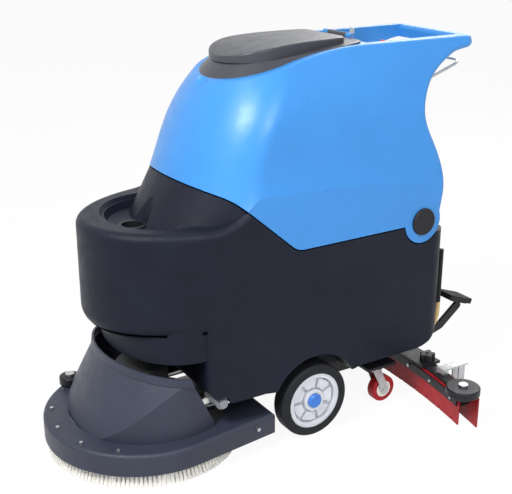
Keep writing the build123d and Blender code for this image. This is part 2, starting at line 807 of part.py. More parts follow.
PANEL_RUN = LOOP_FRONT + PANEL_FRONT_X
PANEL_DROP = PANEL_FRONT_Z - PANEL_REAR_Z
PANEL_LENGTH = hypot(PANEL_RUN, PANEL_DROP)
PANEL = Plane(
    origin=(AXLE_X + PANEL_FRONT_X, 0, PANEL_FRONT_Z),
    x_dir=(-PANEL_RUN, 0, -PANEL_DROP),
    z_dir=(-PANEL_DROP, 0, PANEL_RUN),
)
STOP_PLACE = ((PANEL_FRONT_X - STOP_X) * PANEL_LENGTH / PANEL_RUN, -STOP_Y)
KEY_PLACE = ((PANEL_FRONT_X - KEY_X) * PANEL_LENGTH / PANEL_RUN, -KEY_Y)
PANEL_FACE = PANEL.offset(SEAT + PANEL_T)
HOSE_POINTS = [Vector(AXLE_X + x, y, z) for x, y, z in HOSE_ROUTE]
HOSE_FOOT = Plane(origin=HOSE_POINTS[0], z_dir=HOSE_POINTS[1] - HOSE_POINTS[0])
HOSE_TOP = Plane(origin=HOSE_POINTS[-1], z_dir=HOSE_POINTS[-1] - HOSE_POINTS[-2])

# Recovery tank: outer moulding with handle loop, hinge ears, inner tank and motor chamber
EAR_FRONT = (on_circle(EAR_R, SEAM_Z + SEAM_GAP), SEAM_Z + SEAM_GAP)
TANK_FRONT = (SEAM_FRONT[0], SEAM_FRONT[1] + SEAM_GAP)
LID_PIN_Z = HANDLE_TOP + LID_KNUCKLE_R + AIR
with BuildPart() as recovery_tank:
    loft(sections=tank_plans())
    with BuildSketch(SIDE) as tank_side:
        with BuildLine():
            FilletPolyline(
                TANK_FRONT,
                (SEAM_STEP[0], SEAM_STEP[1] + SEAM_GAP),
                (SEAM_REAR_X, SEAM_Z + SEAM_GAP),
                EAR_FRONT,
                radius=[SEAM_STEP_BEND, SEAM_REAR_BEND],
            )
            ThreePointArc(EAR_FRONT, (PIVOT_X, PIVOT_Z - EAR_R), (PIVOT_X - EAR_R, PIVOT_Z))
            Spline(
                (PIVOT_X - EAR_R, PIVOT_Z),
                *TANK_BACK,
                (-HANDLE_BACK, HANDLE_BAR_BOTTOM),
                tangents=((-0.15, 1), (-1, 0.15)),
            )
            Polyline((-HANDLE_BACK, HANDLE_BAR_BOTTOM), (-HANDLE_BACK, HANDLE_TOP), TOP_LINE[0])
            Bezier(*TOP_LINE)
            Polyline(TOP_LINE[-1], (REACH, TOP_LINE[-1][1]), (REACH, TANK_FRONT[1]), TANK_FRONT)
        make_face()
    extrude(amount=HULL_HALF + AIR, both=True, mode=Mode.INTERSECT)
    side_edges = edges().filter_by(lambda edge: abs(edge.center().Y) > LOOP_HALF / 2)
    top_edges = side_edges.filter_by(lambda edge: edge.center().Z > TOP_LINE[-1][1])
    back_edges = side_edges.filter_by(
        lambda edge: edge.center().X < AXLE_X + PIVOT_X and edge.center().Z > PIVOT_Z
    )
    fillet(top_edges + (back_edges - top_edges), TOP_EDGE)
    with Locations((AXLE_X + FINGER_PLACE[0], 0, FINGER_PLACE[1])):
        Sphere(FINGER_R, mode=Mode.SUBTRACT)
    loop = outline(
        SIDE,
        (PANEL_FRONT_X, REACH + HANDLE_TOP),
        (PANEL_FRONT_X, PANEL_FRONT_Z),
        (-LOOP_FRONT, PANEL_REAR_Z),
        (-LOOP_FRONT, BAIL_PIVOT_Z),
        (HANDLE_BAR - HANDLE_BACK, BAIL_PIVOT_Z),
        (HANDLE_BAR - HANDLE_BACK, REACH + HANDLE_TOP),
    )
    extrude(loop, amount=LOOP_HALF, both=True, mode=Mode.SUBTRACT)
    bar_rear = AXLE_X - HANDLE_BACK
    bar_edges = edges().filter_by(Axis.Y)
    bar_edges = bar_edges.filter_by_position(Axis.X, bar_rear - AIR, bar_rear + HANDLE_BAR + AIR)
    fillet(bar_edges, TOP_EDGE)
    inner = loft(sections=tank_plans(TANK_WALL), mode=Mode.PRIVATE)
    inner_side = outline(
        SIDE,
        (CAVITY_REAR, SEAM_Z + SEAM_GAP + TANK_WALL),
        (SEAM_REAR_X - 2 * TANK_WALL, SEAM_Z + SEAM_GAP + TANK_WALL),
        (SEAM_STEP[0] - 3 * TANK_WALL, SEAM_STEP[1] + SEAM_GAP + TANK_WALL),
        (TANK_FRONT[0], TANK_FRONT[1] + TANK_WALL),
        (REACH, CAVITY_NOSE),
        (MOUTH_FRONT, CAVITY_TOP),
        (CAVITY_REAR, CAVITY_TOP_REAR),
    )
    add(inner & extrude(inner_side, amount=HULL_HALF, both=True, mode=Mode.PRIVATE), mode=Mode.SUBTRACT)
    mouth_mid = (MOUTH_REAR + MOUTH_FRONT) / 2
    mouth = tank_outline(
        level(CAVITY_TOP - TANK_WALL),
        -MOUTH_REAR,
        MOUTH_FRONT,
        MOUTH_HALF,
        MOUTH_HALF,
        mouth_mid,
        TANK_CORNER,
        FULLNESS,
    )
    extrude(mouth, amount=REACH, mode=Mode.SUBTRACT)
    chamber = disc(level(PIVOT_Z - EAR_R), (VACUUM_X, 0), VACUUM_R + TANK_WALL)
    extrude(chamber, amount=VACUUM_TOP - PIVOT_Z + EAR_R, mode=Mode.SUBTRACT)
    for _, side in SIDES:
        boss = disc(aside(side * (LUG_OUT + AIR)), (PIVOT_X, PIVOT_Z), HINGE_CAP_R + SEAM_GAP)
        extrude(boss, amount=-side * (HULL_HALF - LUG_OUT))
        slot = disc(aside(side * (LUG_IN + LUG_OUT) / 2), (PIVOT_X, PIVOT_Z), NOTCH_R + TANK_WALL)
        extrude(slot, amount=(LUG_OUT - LUG_IN) / 2 + AIR, both=True, mode=Mode.SUBTRACT)
        ear = disc(aside(side * BAIL_Y), (BAIL_PIVOT_X, BAIL_PIVOT_Z), 3 * BAIL_R)
        extrude(ear, amount=-side * 6 * BAIL_R)
        web = block(
            aside(side * (BAIL_Y + 2 * BAIL_R + AIR)),
            (BAIL_PIVOT_X, BAIL_PIVOT_Z - 3 * BAIL_R),
            (BAIL_PIVOT_X + 6 * BAIL_R, BAIL_PIVOT_Z + 3 * BAIL_R),
        )
        extrude(web, amount=-side * 4 * BAIL_R)
        bail_room = disc(aside(side * (BAIL_Y + 2 * BAIL_R + AIR)), (BAIL_PIVOT_X, BAIL_PIVOT_Z), 5 * BAIL_R)
        extrude(bail_room, amount=side * 5 * BAIL_R, mode=Mode.SUBTRACT)
        lid_ear = disc(aside(side * (LID_KNUCKLE_HALF + AIR)), (LID_PIN_X, LID_PIN_Z), LID_KNUCKLE_R)
        extrude(lid_ear, amount=-side * LID_EAR_W)
        lid_foot = block(
            aside(side * (LID_KNUCKLE_HALF + AIR)),
            (LID_PIN_X - LID_KNUCKLE_R, HANDLE_TOP - TANK_WALL),
            (LID_PIN_X + LID_KNUCKLE_R, LID_PIN_Z),
        )
        extrude(lid_foot, amount=-side * LID_EAR_W)
    extrude(disc(HOSE_TOP, (0, 0), PORT_R + PORT_WALL), amount=3 * PORT_R)
    extrude(disc(HOSE_TOP, (0, 0), PORT_R), amount=2 * PORT_R, mode=Mode.SUBTRACT)
    extrude(disc(PANEL, STOP_PLACE, STOP_STEM_R + AIR), amount=-2 * STOP_TRAVEL, mode=Mode.SUBTRACT)
    extrude(disc(SIDE, (PIVOT_X, PIVOT_Z), HINGE_PIN_R + RUN), amount=REACH, both=True, mode=Mode.SUBTRACT)
    bail_bore = disc(SIDE, (BAIL_PIVOT_X, BAIL_PIVOT_Z), BAIL_R + RUN)
    extrude(bail_bore, amount=BAIL_Y + 6 * BAIL_R, both=True, mode=Mode.SUBTRACT)
    extrude(disc(SIDE, (LID_PIN_X, LID_PIN_Z), LID_PIN_R + SEAT), amount=REACH, both=True, mode=Mode.SUBTRACT)
save("recovery_tank", recovery_tank)

with BuildPart() as hinge_caps:
    for _, side in SIDES:
        cap_face = disc(aside(side * (HULL_HALF + AIR + SEAT)), (PIVOT_X, PIVOT_Z), HINGE_CAP_R)
        extrude(cap_face, amount=-side * HINGE_CAP_T)
    rounds = edges().filter_by(GeomType.CIRCLE)
    fillet(rounds.filter_by(lambda edge: abs(edge.center().Y) > HULL_HALF + HINGE_CAP_T), HINGE_CAP_T / 2)
save("hinge_caps", hinge_caps)


# Lid: sloping skirt on the tank's top line, an overhanging disc that thins out to the rear, and a knuckle
def lid_plan(plane, inset):
    return tank_outline(
        plane,
        LID_REAR - inset,
        LID_FRONT - inset,
        LID_HALF - inset,
        LID_HALF_REAR - inset,
        LID_FRONT - LID_HALF,
        TANK_CORNER,
        FULLNESS,
    )


def under_disc(x):
    """Height of the disc's underside."""
    return LID_LIP[1] + LID_LIP_SLOPE * (LID_LIP[0] - x)


LID_BASE = Plane(origin=(AXLE_X, 0, LID_BASE_Z), x_dir=(1, 0, -LID_SLOPE), z_dir=(LID_SLOPE, 0, 1))
with BuildPart() as lid_disc:
    extrude(lid_plan(level(CAVITY_TOP), LID_DISC_IN), amount=LID_CROWN[1] - CAVITY_TOP)
    with BuildSketch(SIDE) as disc_side:
        with BuildLine():
            lip_top = (LID_LIP[0], LID_LIP[1] + LID_LIP_T)
            rear_top = (-LID_REAR, LID_CROWN[1])
            Spline(lip_top, LID_CROWN, tangents=((-1, 0.45), (-1, 0)))
            Polyline(LID_CROWN, rear_top, (-LID_REAR, under_disc(-LID_REAR)), LID_LIP, lip_top)
        make_face()
    extrude(amount=HULL_HALF, both=True, mode=Mode.INTERSECT)
    rim_edges = edges().filter_by(lambda edge: edge.center().X > AXLE_X - LID_REAR + LID_DISC_IN + 1)
    upper_edges = rim_edges.filter_by(
        lambda edge: edge.center().Z > under_disc(edge.center().X - AXLE_X) + LID_T / 2
    )
    fillet(upper_edges.filter_by(lambda edge: abs(edge.center().Y) > LID_T), LID_LIP_ROUND)

with BuildPart() as tank_lid:
    loft(sections=[lid_plan(LID_BASE, 0), lid_plan(LID_BASE.offset(LID_SKIRT_H), LID_SKIRT_IN)], ruled=True)
    extrude(lid_plan(LID_BASE, 0), amount=-LID_SKIRT_H)
    with BuildSketch(SIDE):
        with BuildLine():
            Line((-REACH, HANDLE_TOP + SEAT), (TOP_LINE[0][0], HANDLE_TOP + SEAT))
            Bezier(*[(x, z + SEAT) for x, z in TOP_LINE])
            Polyline(
                (TOP_LINE[-1][0], TOP_LINE[-1][1] + SEAT),
                (TOP_LINE[-1][0], under_disc(TOP_LINE[-1][0]) + SEAT),
                (-REACH, under_disc(-REACH) + SEAT),
                (-REACH, HANDLE_TOP + SEAT),
            )
        make_face()
    extrude(amount=HULL_HALF, both=True, mode=Mode.INTERSECT)
    add(lid_disc.part)
    hollow = extrude(lid_plan(level(CAVITY_TOP), LID_HOLLOW_IN), amount=LID_CROWN[1], mode=Mode.PRIVATE)
    hollow_side = outline(
        SIDE,
        (MOUTH_REAR, CAVITY_TOP),
        (LID_FRONT, CAVITY_TOP),
        (LID_FRONT, under_disc(LID_FRONT) - LID_WALL),
        (MOUTH_REAR, under_disc(MOUTH_REAR) - LID_WALL),
    )
    add(hollow & extrude(hollow_side, amount=HULL_HALF, both=True, mode=Mode.PRIVATE), mode=Mode.SUBTRACT)
    extrude(disc(SIDE, (LID_PIN_X, LID_PIN_Z), LID_KNUCKLE_R), amount=LID_KNUCKLE_HALF, both=True)
    extrude(
        block(SIDE, (LID_PIN_X, LID_PIN_Z - LID_PIN_R), (-LID_REAR + LID_T, LID_PIN_Z)),
        amount=LID_KNUCKLE_HALF,
        both=True,
    )
    extrude(disc(SIDE, (LID_PIN_X, LID_PIN_Z), LID_PIN_R + RUN), amount=REACH, both=True, mode=Mode.SUBTRACT)
save("tank_lid", tank_lid)

with BuildPart() as lid_hinge_pin:
    extrude(disc(SIDE, (LID_PIN_X, LID_PIN_Z), LID_PIN_R), amount=LID_KNUCKLE_HALF + LID_EAR_W, both=True)
save("lid_hinge_pin", lid_hinge_pin)

# Controls on the sloping panel between the handle arms
with BuildPart() as control_panel:
    with BuildSketch(PANEL.offset(SEAT)):
        with Locations((PANEL_LENGTH / 2, 0)):
            RectangleRounded(PANEL_LENGTH - 4 * PANEL_T, 2 * (LOOP_HALF - AIR), TOP_EDGE)
        with Locations(STOP_PLACE):
            Circle(STOP_STEM_R + SEAT, mode=Mode.SUBTRACT)
        with Locations(KEY_PLACE):
            Circle(KEY_R + RUN, mode=Mode.SUBTRACT)
    extrude(amount=PANEL_T)
    collar = disc(PANEL_FACE, STOP_PLACE, STOP_R + PANEL_T, STOP_STEM_R + SEAT)
    extrude(collar, amount=LID_WALL / 2)
save("control_panel", control_panel)

with BuildPart() as stop_button:
    extrude(disc(PANEL.offset(SEAT), STOP_PLACE, STOP_STEM_R), amount=PANEL_T + 2 * STOP_TRAVEL)
    extrude(disc(PANEL_FACE.offset(LID_WALL / 2 + STOP_TRAVEL + AIR), STOP_PLACE, STOP_R), amount=STOP_R / 2)
    fillet(edges().filter_by(GeomType.CIRCLE).sort_by(Axis.Z)[-1], STOP_R / 4)
save("stop_button", stop_button)

with BuildPart() as key_switch:
    extrude(disc(PANEL.offset(SEAT), KEY_PLACE, KEY_R), amount=PANEL_T + LID_WALL)
    with BuildSketch(PANEL_FACE.offset(LID_WALL)):
        with Locations(KEY_PLACE):
            Rectangle(LID_WALL, KEY_R)
    extrude(amount=KEY_R)
    with BuildSketch(PANEL_FACE.offset(LID_WALL + KEY_R)):
        with Locations(KEY_PLACE):
            RectangleRounded(LID_WALL, 2 * KEY_R, LID_WALL / 3)
    extrude(amount=2 * KEY_R)
save("key_switch", key_switch)

# Drive bail: a bent rod whose ends turn outward into the tank's ears
with BuildPart() as drive_bail:
    bail_end = BAIL_Y + 5 * BAIL_R
    with BuildLine() as bail_line:
        FilletPolyline(
            (AXLE_X + BAIL_PIVOT_X, bail_end, BAIL_PIVOT_Z),
            (AXLE_X + BAIL_PIVOT_X, BAIL_Y, BAIL_PIVOT_Z),
            (AXLE_X + BAIL_BACK_X, BAIL_Y, BAIL_BACK_Z),
            (AXLE_X + BAIL_BACK_X, -BAIL_Y, BAIL_BACK_Z),
            (AXLE_X + BAIL_PIVOT_X, -BAIL_Y, BAIL_PIVOT_Z),
            (AXLE_X + BAIL_PIVOT_X, -bail_end, BAIL_PIVOT_Z),
            radius=[2 * BAIL_R, BAIL_BEND, BAIL_BEND, 2 * BAIL_R],
        )
    with BuildSketch(Plane(origin=bail_line.line @ 0, z_dir=bail_line.line % 0)):
        Circle(BAIL_R)
    sweep()
save("drive_bail", drive_bail)

# Inside the tanks
with BuildPart() as vacuum_motor:
    extrude(disc(level(VACUUM_TOP - VACUUM_H), (VACUUM_X, 0), VACUUM_R * 0.8), amount=VACUUM_H * 0.55)
    extrude(disc(level(VACUUM_TOP - VACUUM_H * 0.45), (VACUUM_X, 0), VACUUM_R), amount=VACUUM_H * 0.45 - SEAT)
    with BuildSketch(level(VACUUM_TOP - VACUUM_H)):
        with Locations((VACUUM_X, 0)):
            with PolarLocations(VACUUM_R * 0.6, 8):
                Circle(VACUUM_R * 0.12)
    extrude(amount=VACUUM_H * 0.3, mode=Mode.SUBTRACT)
save("vacuum_motor", vacuum_motor)

CEILING_SLOPE = (CAVITY_TOP_REAR - CAVITY_TOP) / (MOUTH_FRONT - CAVITY_REAR)
FLOAT_CEILING = CAVITY_TOP + CEILING_SLOPE * (MOUTH_FRONT - FLOAT_X - FLOAT_R)
with BuildPart() as float_cage:
    extrude(disc(level(FLOAT_CEILING - FLOAT_H), (FLOAT_X, 0), FLOAT_R), amount=FLOAT_H - SEAT)
    with BuildSketch(level(FLOAT_CEILING - FLOAT_H + LID_WALL)):
        with Locations((FLOAT_X, 0)):
            Circle(FLOAT_R - LID_WALL)
    extrude(amount=FLOAT_H * 0.7, mode=Mode.SUBTRACT)
    with BuildSketch(SIDE):
        with Locations((FLOAT_X, FLOAT_CEILING - FLOAT_H * 0.6)):
            RectangleRounded(FLOAT_R, FLOAT_H * 0.5, LID_WALL)
    extrude(amount=FLOAT_R, both=True, mode=Mode.SUBTRACT)
    with BuildSketch(across(FLOAT_X, 0, FLOAT_CEILING - FLOAT_H * 0.6)):
        RectangleRounded(FLOAT_R, FLOAT_H * 0.5, LID_WALL)
    extrude(amount=FLOAT_R, both=True, mode=Mode.SUBTRACT)
save("float_cage", float_cage)

with BuildPart() as filler_strainer:
    extrude(disc(level(TRAY_FLOOR), (FILLER_X, 0), FILLER_R + LID_WALL), amount=LID_WALL)
    extrude(disc(level(TRAY_FLOOR - 2 * FILLER_R), (FILLER_X, 0), FILLER_R - SEAT), amount=2 * FILLER_R)
    filler_bore = disc(level(TRAY_FLOOR - 2 * FILLER_R + LID_WALL), (FILLER_X, 0), FILLER_R - LID_WALL)
    extrude(filler_bore, amount=REACH, mode=Mode.SUBTRACT)
save("filler_strainer", filler_strainer)

BATTERY_X = (BAY_FRONT - BAY_REAR) / 2
BATTERY_TOP = BAY_FLOOR + BATTERY[2]
BATTERY_Y = BATTERY[1] / 2 + BATTERY_AIR
with BuildPart() as batteries:
    for _, side in SIDES:
        with BuildSketch(level(BAY_FLOOR)):
            with Locations((BATTERY_X, side * BATTERY_Y)):
                RectangleRounded(BATTERY[0], BATTERY[1], TOP_EDGE)
        extrude(amount=BATTERY[2])
save("batteries", batteries)

with BuildPart() as battery_cables:
    post_x = BATTERY_X + BATTERY[0] / 2 - 4 * POST_R
    for _, side in SIDES:
        extrude(disc(level(BATTERY_TOP), (post_x, side * BATTERY_Y), POST_R), amount=POST_H)
    cable_z = BATTERY_TOP + POST_H / 2
    extrude(disc(SIDE, (post_x, cable_z), CABLE_R), amount=BATTERY_Y, both=True)
save("battery_cables", battery_cables)


# Brush deck: hood with a round lip, a shelf, two skirts to the rear and a tower with a sloping front
def deck_plan(z, inset):
    radius = DECK_R - inset
    corner = (SKIRT_REAR + inset, SKIRT_HALF - inset)
    run = corner[0] - BRUSH_AHEAD
    tangent = atan2(corner[1], run) - acos(radius / hypot(run, corner[1]))
    turn = (BRUSH_AHEAD + radius * cos(tangent), radius * sin(tangent))
    with BuildSketch(level(z)) as plan:
        with BuildLine():
            Polyline((corner[0], 0), corner, turn)
            ThreePointArc(turn, (BRUSH_AHEAD + radius, 0), (turn[0], -turn[1]))
            Polyline((turn[0], -turn[1]), (corner[0], -corner[1]), (corner[0], 0))
        make_face()
    return plan.sketch


RIM_PLANE = Plane(
    origin=(AXLE_X + RIM_PLACE[0], 0, RIM_PLACE[1]), x_dir=(1, 0, RIM_SLOPE), z_dir=(-RIM_SLOPE, 0, 1)
)


def rim_oval(plane, grow):
    with BuildSketch(plane) as face:
        Ellipse(RIM_SIZE[0] + grow, RIM_SIZE[1] + grow)
    return face.sketch


def tower(inset, foot_z, top):
    """Upright round body cut by a cone that slopes up to an oval collar."""
    foot = Plane(origin=(AXLE_X + RIM_PLACE[0], 0, foot_z))
    with BuildPart() as body:
        drum = [
            disc(level(foot_z), (TOWER_X, 0), TOWER_R - inset),
            disc(level(RIM_PLACE[1] + COLLAR_H), (TOWER_X, 0), TOWER_R - TOWER_DRAFT - inset),
        ]
        loft(sections=drum, ruled=True)
        cone_top = rim_oval(RIM_PLANE.offset(-COLLAR_H), -COLLAR_STEP - inset)
        cone = [rim_oval(foot, CONE_SPREAD - inset), cone_top]
        loft(sections=cone, ruled=True, mode=Mode.INTERSECT)
        extrude(rim_oval(RIM_PLANE.offset(top), -inset), amount=-COLLAR_H - top - SEAT)
    return body.part


SKIRT_SCREW = (SKIRT_REAR + 6 * DECK_EDGE, DECK_TOP - 2 * DECK_EDGE)
with BuildPart() as tower_shell:
    add(tower(0, DECK_CEILING, 0))
    add(tower(DECK_WALL, DECK_CEILING - DECK_WALL, DECK_EDGE), mode=Mode.SUBTRACT)
    ahead = outline(SIDE, *TOWER_CUT, (REACH, TOWER_CUT[1][1] + REACH), (REACH, TOWER_CUT[0][1]))
    extrude(ahead, amount=DECK_R, both=True, mode=Mode.INTERSECT)

with BuildPart() as deck_hood:
    extrude(deck_plan(DECK_LIP_Z, 0), amount=DECK_TOP - DECK_LIP_Z)
    fillet(faces().sort_by(Axis.Z)[-1].edges(), DECK_EDGE)
    extrude(deck_plan(DECK_LIP_Z, DECK_WALL), amount=DECK_CEILING - DECK_LIP_Z, mode=Mode.SUBTRACT)
    well = disc(level(DECK_CEILING - DECK_WALL), (TOWER_X, 0), TOWER_R - DECK_WALL)
    extrude(well, amount=DECK_TOP - DECK_CEILING + 2 * DECK_WALL, mode=Mode.SUBTRACT)
    add(tower_shell.part)
    for _, side in SIDES:
        notch = block(
            level(DECK_LIP_Z + 5 * DECK_WALL),
            (0, side * ARM_Y - NOTCH_HALF),
            (TOWER_CUT[0][0], side * ARM_Y + NOTCH_HALF),
        )
        extrude(notch, amount=REACH, mode=Mode.SUBTRACT)
    for _, side in SIDES:
        hole = disc(aside(side * (SKIRT_HALF + 2 * DECK_EDGE)), SKIRT_SCREW, DECK_SCREW_R + SEAT)
        extrude(hole, amount=side * 2 * DECK_EDGE, mode=Mode.SUBTRACT)
save("deck_hood", deck_hood)

PLATE_Z = DECK_CEILING - PLATE_T
with BuildPart() as deck_plate:
    extrude(disc(level(PLATE_Z), (BRUSH_AHEAD, 0), PLATE_R, SHAFT_R + PLATE_T), amount=PLATE_T - SEAT)
    for _, side in SIDES:
        notch_end = (ARM_FRONT[0] + ARM_R + PLATE_T, side * (ARM_Y - NOTCH_HALF))
        notch = block(level(0), (0, side * (ARM_Y + NOTCH_HALF)), notch_end)
        extrude(notch, amount=REACH, mode=Mode.SUBTRACT)
        lug_y = side * (ARM_Y - ARM_T / 2 - AIR - LUG_T / 2)
        lug = link(aside(lug_y), (ARM_FRONT[0], PLATE_Z + ARM_R), ARM_FRONT, ARM_R)
        extrude(lug, amount=LUG_T / 2, both=True)
        base_end = (ARM_FRONT[0] + 3 * ARM_R, PLATE_Z + ARM_R)
        base = block(aside(lug_y), (ARM_FRONT[0] - ARM_R, PLATE_Z), base_end)
        extrude(base, amount=LUG_T / 2, both=True)
        stud = disc(aside(lug_y), ARM_FRONT, PIN_R)
        extrude(stud, amount=-side * (LUG_T / 2 + ARM_T + 2 * AIR))
save("deck_plate", deck_plate)

with BuildPart() as deck_arms:
    for _, side in SIDES:
        bar = link(aside(side * ARM_Y), ARM_REAR, ARM_FRONT, ARM_R)
        extrude(bar, amount=ARM_T / 2, both=True)
    tie = ((ARM_REAR[0] + ARM_FRONT[0]) / 2, (ARM_REAR[1] + ARM_FRONT[1]) / 2 + ARM_R / 2)
    extrude(disc(SIDE, tie, PIN_R), amount=ARM_Y, both=True)
    for place in (ARM_REAR, ARM_FRONT):
        extrude(disc(SIDE, place, PIN_R + RUN), amount=REACH, both=True, mode=Mode.SUBTRACT)
save("deck_arms", deck_arms)

with BuildPart() as brush_motor:
    extrude(disc(level(DECK_CEILING), (BRUSH_AHEAD, 0), MOTOR_FLANGE[0]), amount=MOTOR_FLANGE[1])
    extrude(disc(level(DECK_CEILING), (BRUSH_AHEAD, 0), MOTOR_R), amount=MOTOR_TOP - DECK_CEILING)
    fillet(edges().filter_by(GeomType.CIRCLE).sort_by(Axis.Z)[-1], TOP_EDGE)
    shaft_hole = disc(level(0), (BRUSH_AHEAD, 0), SHAFT_R + RUN)
    extrude(shaft_hole, amount=DECK_CEILING + MOTOR_FLANGE[1], mode=Mode.SUBTRACT)
save("brush_motor", brush_motor)

BLOCK_Z = BRISTLE_H + BRISTLE_BACK
DRIVE_Z = BLOCK_Z + BLOCK_T
with BuildPart() as drive_hub:
    extrude(disc(level(DRIVE_Z + SEAT), (BRUSH_AHEAD, 0), DRIVE_R), amount=DRIVE_T)
    shaft = disc(level(DRIVE_Z + SEAT), (BRUSH_AHEAD, 0), SHAFT_R)
    extrude(shaft, amount=DECK_CEILING + MOTOR_FLANGE[1] - DRIVE_Z - AIR)
    with BuildSketch(level(BLOCK_Z + SEAT)):
        with Locations((BRUSH_AHEAD, 0)):
            with PolarLocations((BLOCK_HOLE_R + SHAFT_R) / 2, 3):
                Circle(SHAFT_R)
    extrude(amount=DRIVE_Z - BLOCK_Z)
save("drive_hub", drive_hub)

with BuildPart() as brush_block:
    extrude(disc(level(BLOCK_Z), (BRUSH_AHEAD, 0), BLOCK_R), amount=BLOCK_T / 2)
    extrude(disc(level(BLOCK_Z), (BRUSH_AHEAD, 0), BLOCK_STEP_R), amount=BLOCK_T)
    with BuildSketch(level(0)):
        with Locations((BRUSH_AHEAD, 0)):
            with PolarLocations((BLOCK_HOLE_R + SHAFT_R) / 2, 3):
                Circle(SHAFT_R + SEAT)
            Circle(SHAFT_R)
    extrude(amount=REACH, mode=Mode.SUBTRACT)
save("brush_block", brush_block)

# Bristles: rings of square tufts that lean outward, on a slice of their backing
with BuildPart() as brush_bristles:
    backing = disc(level(BRISTLE_H), (BRUSH_AHEAD, 0), BLOCK_R, BRISTLE_RINGS[-1][0] - 2 * BRISTLE_W)
    extrude(backing, amount=BRISTLE_BACK - SEAT)
    spread = BRISTLE_R - BRISTLE_RINGS[0][0] - BRISTLE_W / 2
    strands = []
    for ring_r, count in BRISTLE_RINGS:
        for step in range(count):
            angle = 2 * pi * step / count
            ends = []
            for z, radius in ((0, ring_r + spread), (BRISTLE_H + BRISTLE_BACK / 2, ring_r)):
                place = (AXLE_X + BRUSH_AHEAD + radius * cos(angle), radius * sin(angle), z)
                with BuildSketch(Plane(origin=place, x_dir=(cos(angle), sin(angle), 0))) as tuft:
                    Rectangle(BRISTLE_W, BRISTLE_W)
                ends.append(tuft.sketch)
            strands.append(loft(sections=ends, ruled=True, mode=Mode.PRIVATE))
    add(strands)
save("brush_bristles", brush_bristles)

with BuildPart() as guard_roller:
    extrude(disc(level(DECK_TOP + AIR), ROLLER_PLACE, ROLLER_R, GUIDE_BOLT_R + RUN), amount=ROLLER_H)
    fillet(edges().filter_by(GeomType.CIRCLE).filter_by(lambda edge: edge.radius > ROLLER_R / 2), LID_WALL)
save("guard_roller", guard_roller)

with BuildPart() as deck_screws:
    with BuildSketch(level(DECK_TOP)):
        with Locations((BRUSH_AHEAD, 0)):
            with PolarLocations(DECK_SCREW_RING, 6, start_angle=-75, angular_range=150):
                RegularPolygon(DECK_SCREW_R, 6)
    extrude(amount=LID_WALL)
    for _, side in SIDES:
        screw = disc(aside(side * (SKIRT_HALF + 2 * DECK_EDGE)), SKIRT_SCREW, DECK_SCREW_R)
        extrude(screw, amount=side * 2 * DECK_EDGE)
    extrude(disc(level(DECK_TOP), ROLLER_PLACE, GUIDE_BOLT_R), amount=ROLLER_H + 2 * AIR)
    extrude(disc(level(DECK_TOP + ROLLER_H + 2 * AIR), ROLLER_PLACE, 2 * GUIDE_BOLT_R), amount=GUIDE_BOLT_R)
save("deck_screws", deck_screws)

# Deck pedal: a cranked steel arm with a tilted pad
PAD_TURN = radians(PEDAL_PAD_TILT)
PAD_X = -PEDAL_BEHIND + PEDAL_PAD[0] / 2 * cos(PAD_TURN) + PEDAL_PAD[2] / 2 * sin(PAD_TURN)
PAD_PLANE = Plane(
    origin=(AXLE_X + PAD_X, PEDAL_PAD_Y, PEDAL_PAD_Z),
    x_dir=(cos(radians(PEDAL_PAD_TILT)), 0, sin(radians(PEDAL_PAD_TILT))),
    z_dir=(-sin(radians(PEDAL_PAD_TILT)), 0, cos(radians(PEDAL_PAD_TILT))),
)
with BuildPart() as pedal_arm:
    pad_end = (PAD_X, PEDAL_PAD_Z - PEDAL_PAD[2] / 2 - LID_WALL - PEDAL_R)
    extrude(link(aside(PEDAL_Y), PEDAL_PIVOT, PEDAL_KNEE, PEDAL_R), amount=PEDAL_T / 2, both=True)
    extrude(link(aside(PEDAL_Y), PEDAL_KNEE, pad_end, PEDAL_R), amount=PEDAL_T / 2, both=True)
    with BuildSketch(PAD_PLANE.offset(-PEDAL_PAD[2] / 2 - LID_WALL)):
        Rectangle(PEDAL_PAD[0] * 0.7, PEDAL_PAD[1] * 0.7)
    extrude(amount=LID_WALL - SEAT)
    extrude(disc(SIDE, PEDAL_PIVOT, PIN_R + RUN), amount=REACH, both=True, mode=Mode.SUBTRACT)
save("pedal_arm", pedal_arm)

with BuildPart() as pedal_pad:
    with BuildSketch(PAD_PLANE.offset(-PEDAL_PAD[2] / 2)):
        RectangleRounded(PEDAL_PAD[0], PEDAL_PAD[1], TOP_EDGE)
    extrude(amount=PEDAL_PAD[2])
    with BuildSketch(PAD_PLANE.offset(PEDAL_PAD[2] / 2)):
        with GridLocations(LID_WALL * 3, 0, 6, 1):
            Rectangle(LID_WALL, PEDAL_PAD[1])
    extrude(amount=-LID_WALL / 2, mode=Mode.SUBTRACT)
save("pedal_pad", pedal_pad)

# Squeegee: every curved piece is a strip of a ring about one centre
RING_X = SQUEEGEE_X + SQUEEGEE_R
HOLDER_IN = SQUEEGEE_R - HOLDER_T / 2
HOLDER_OUT = SQUEEGEE_R + HOLDER_T / 2
FRONT_IN = HOLDER_IN - SEAT - BLADE_T
REAR_OUT = HOLDER_OUT + SEAT + BLADE_T


def ring_strip(z, inner, outer, half):
    with BuildSketch(level(z)) as strip:
        with Locations((RING_X, 0)):
            Circle(outer)
            Circle(inner, mode=Mode.SUBTRACT)
        with Locations((SQUEEGEE_X, 0)):
            Rectangle(SQUEEGEE_R, 2 * half, mode=Mode.INTERSECT)
    return strip.sketch


def ring_x(radius, y):
    """Place along X where a ring of the squeegee passes y."""
    return RING_X - sqrt(radius**2 - y**2)


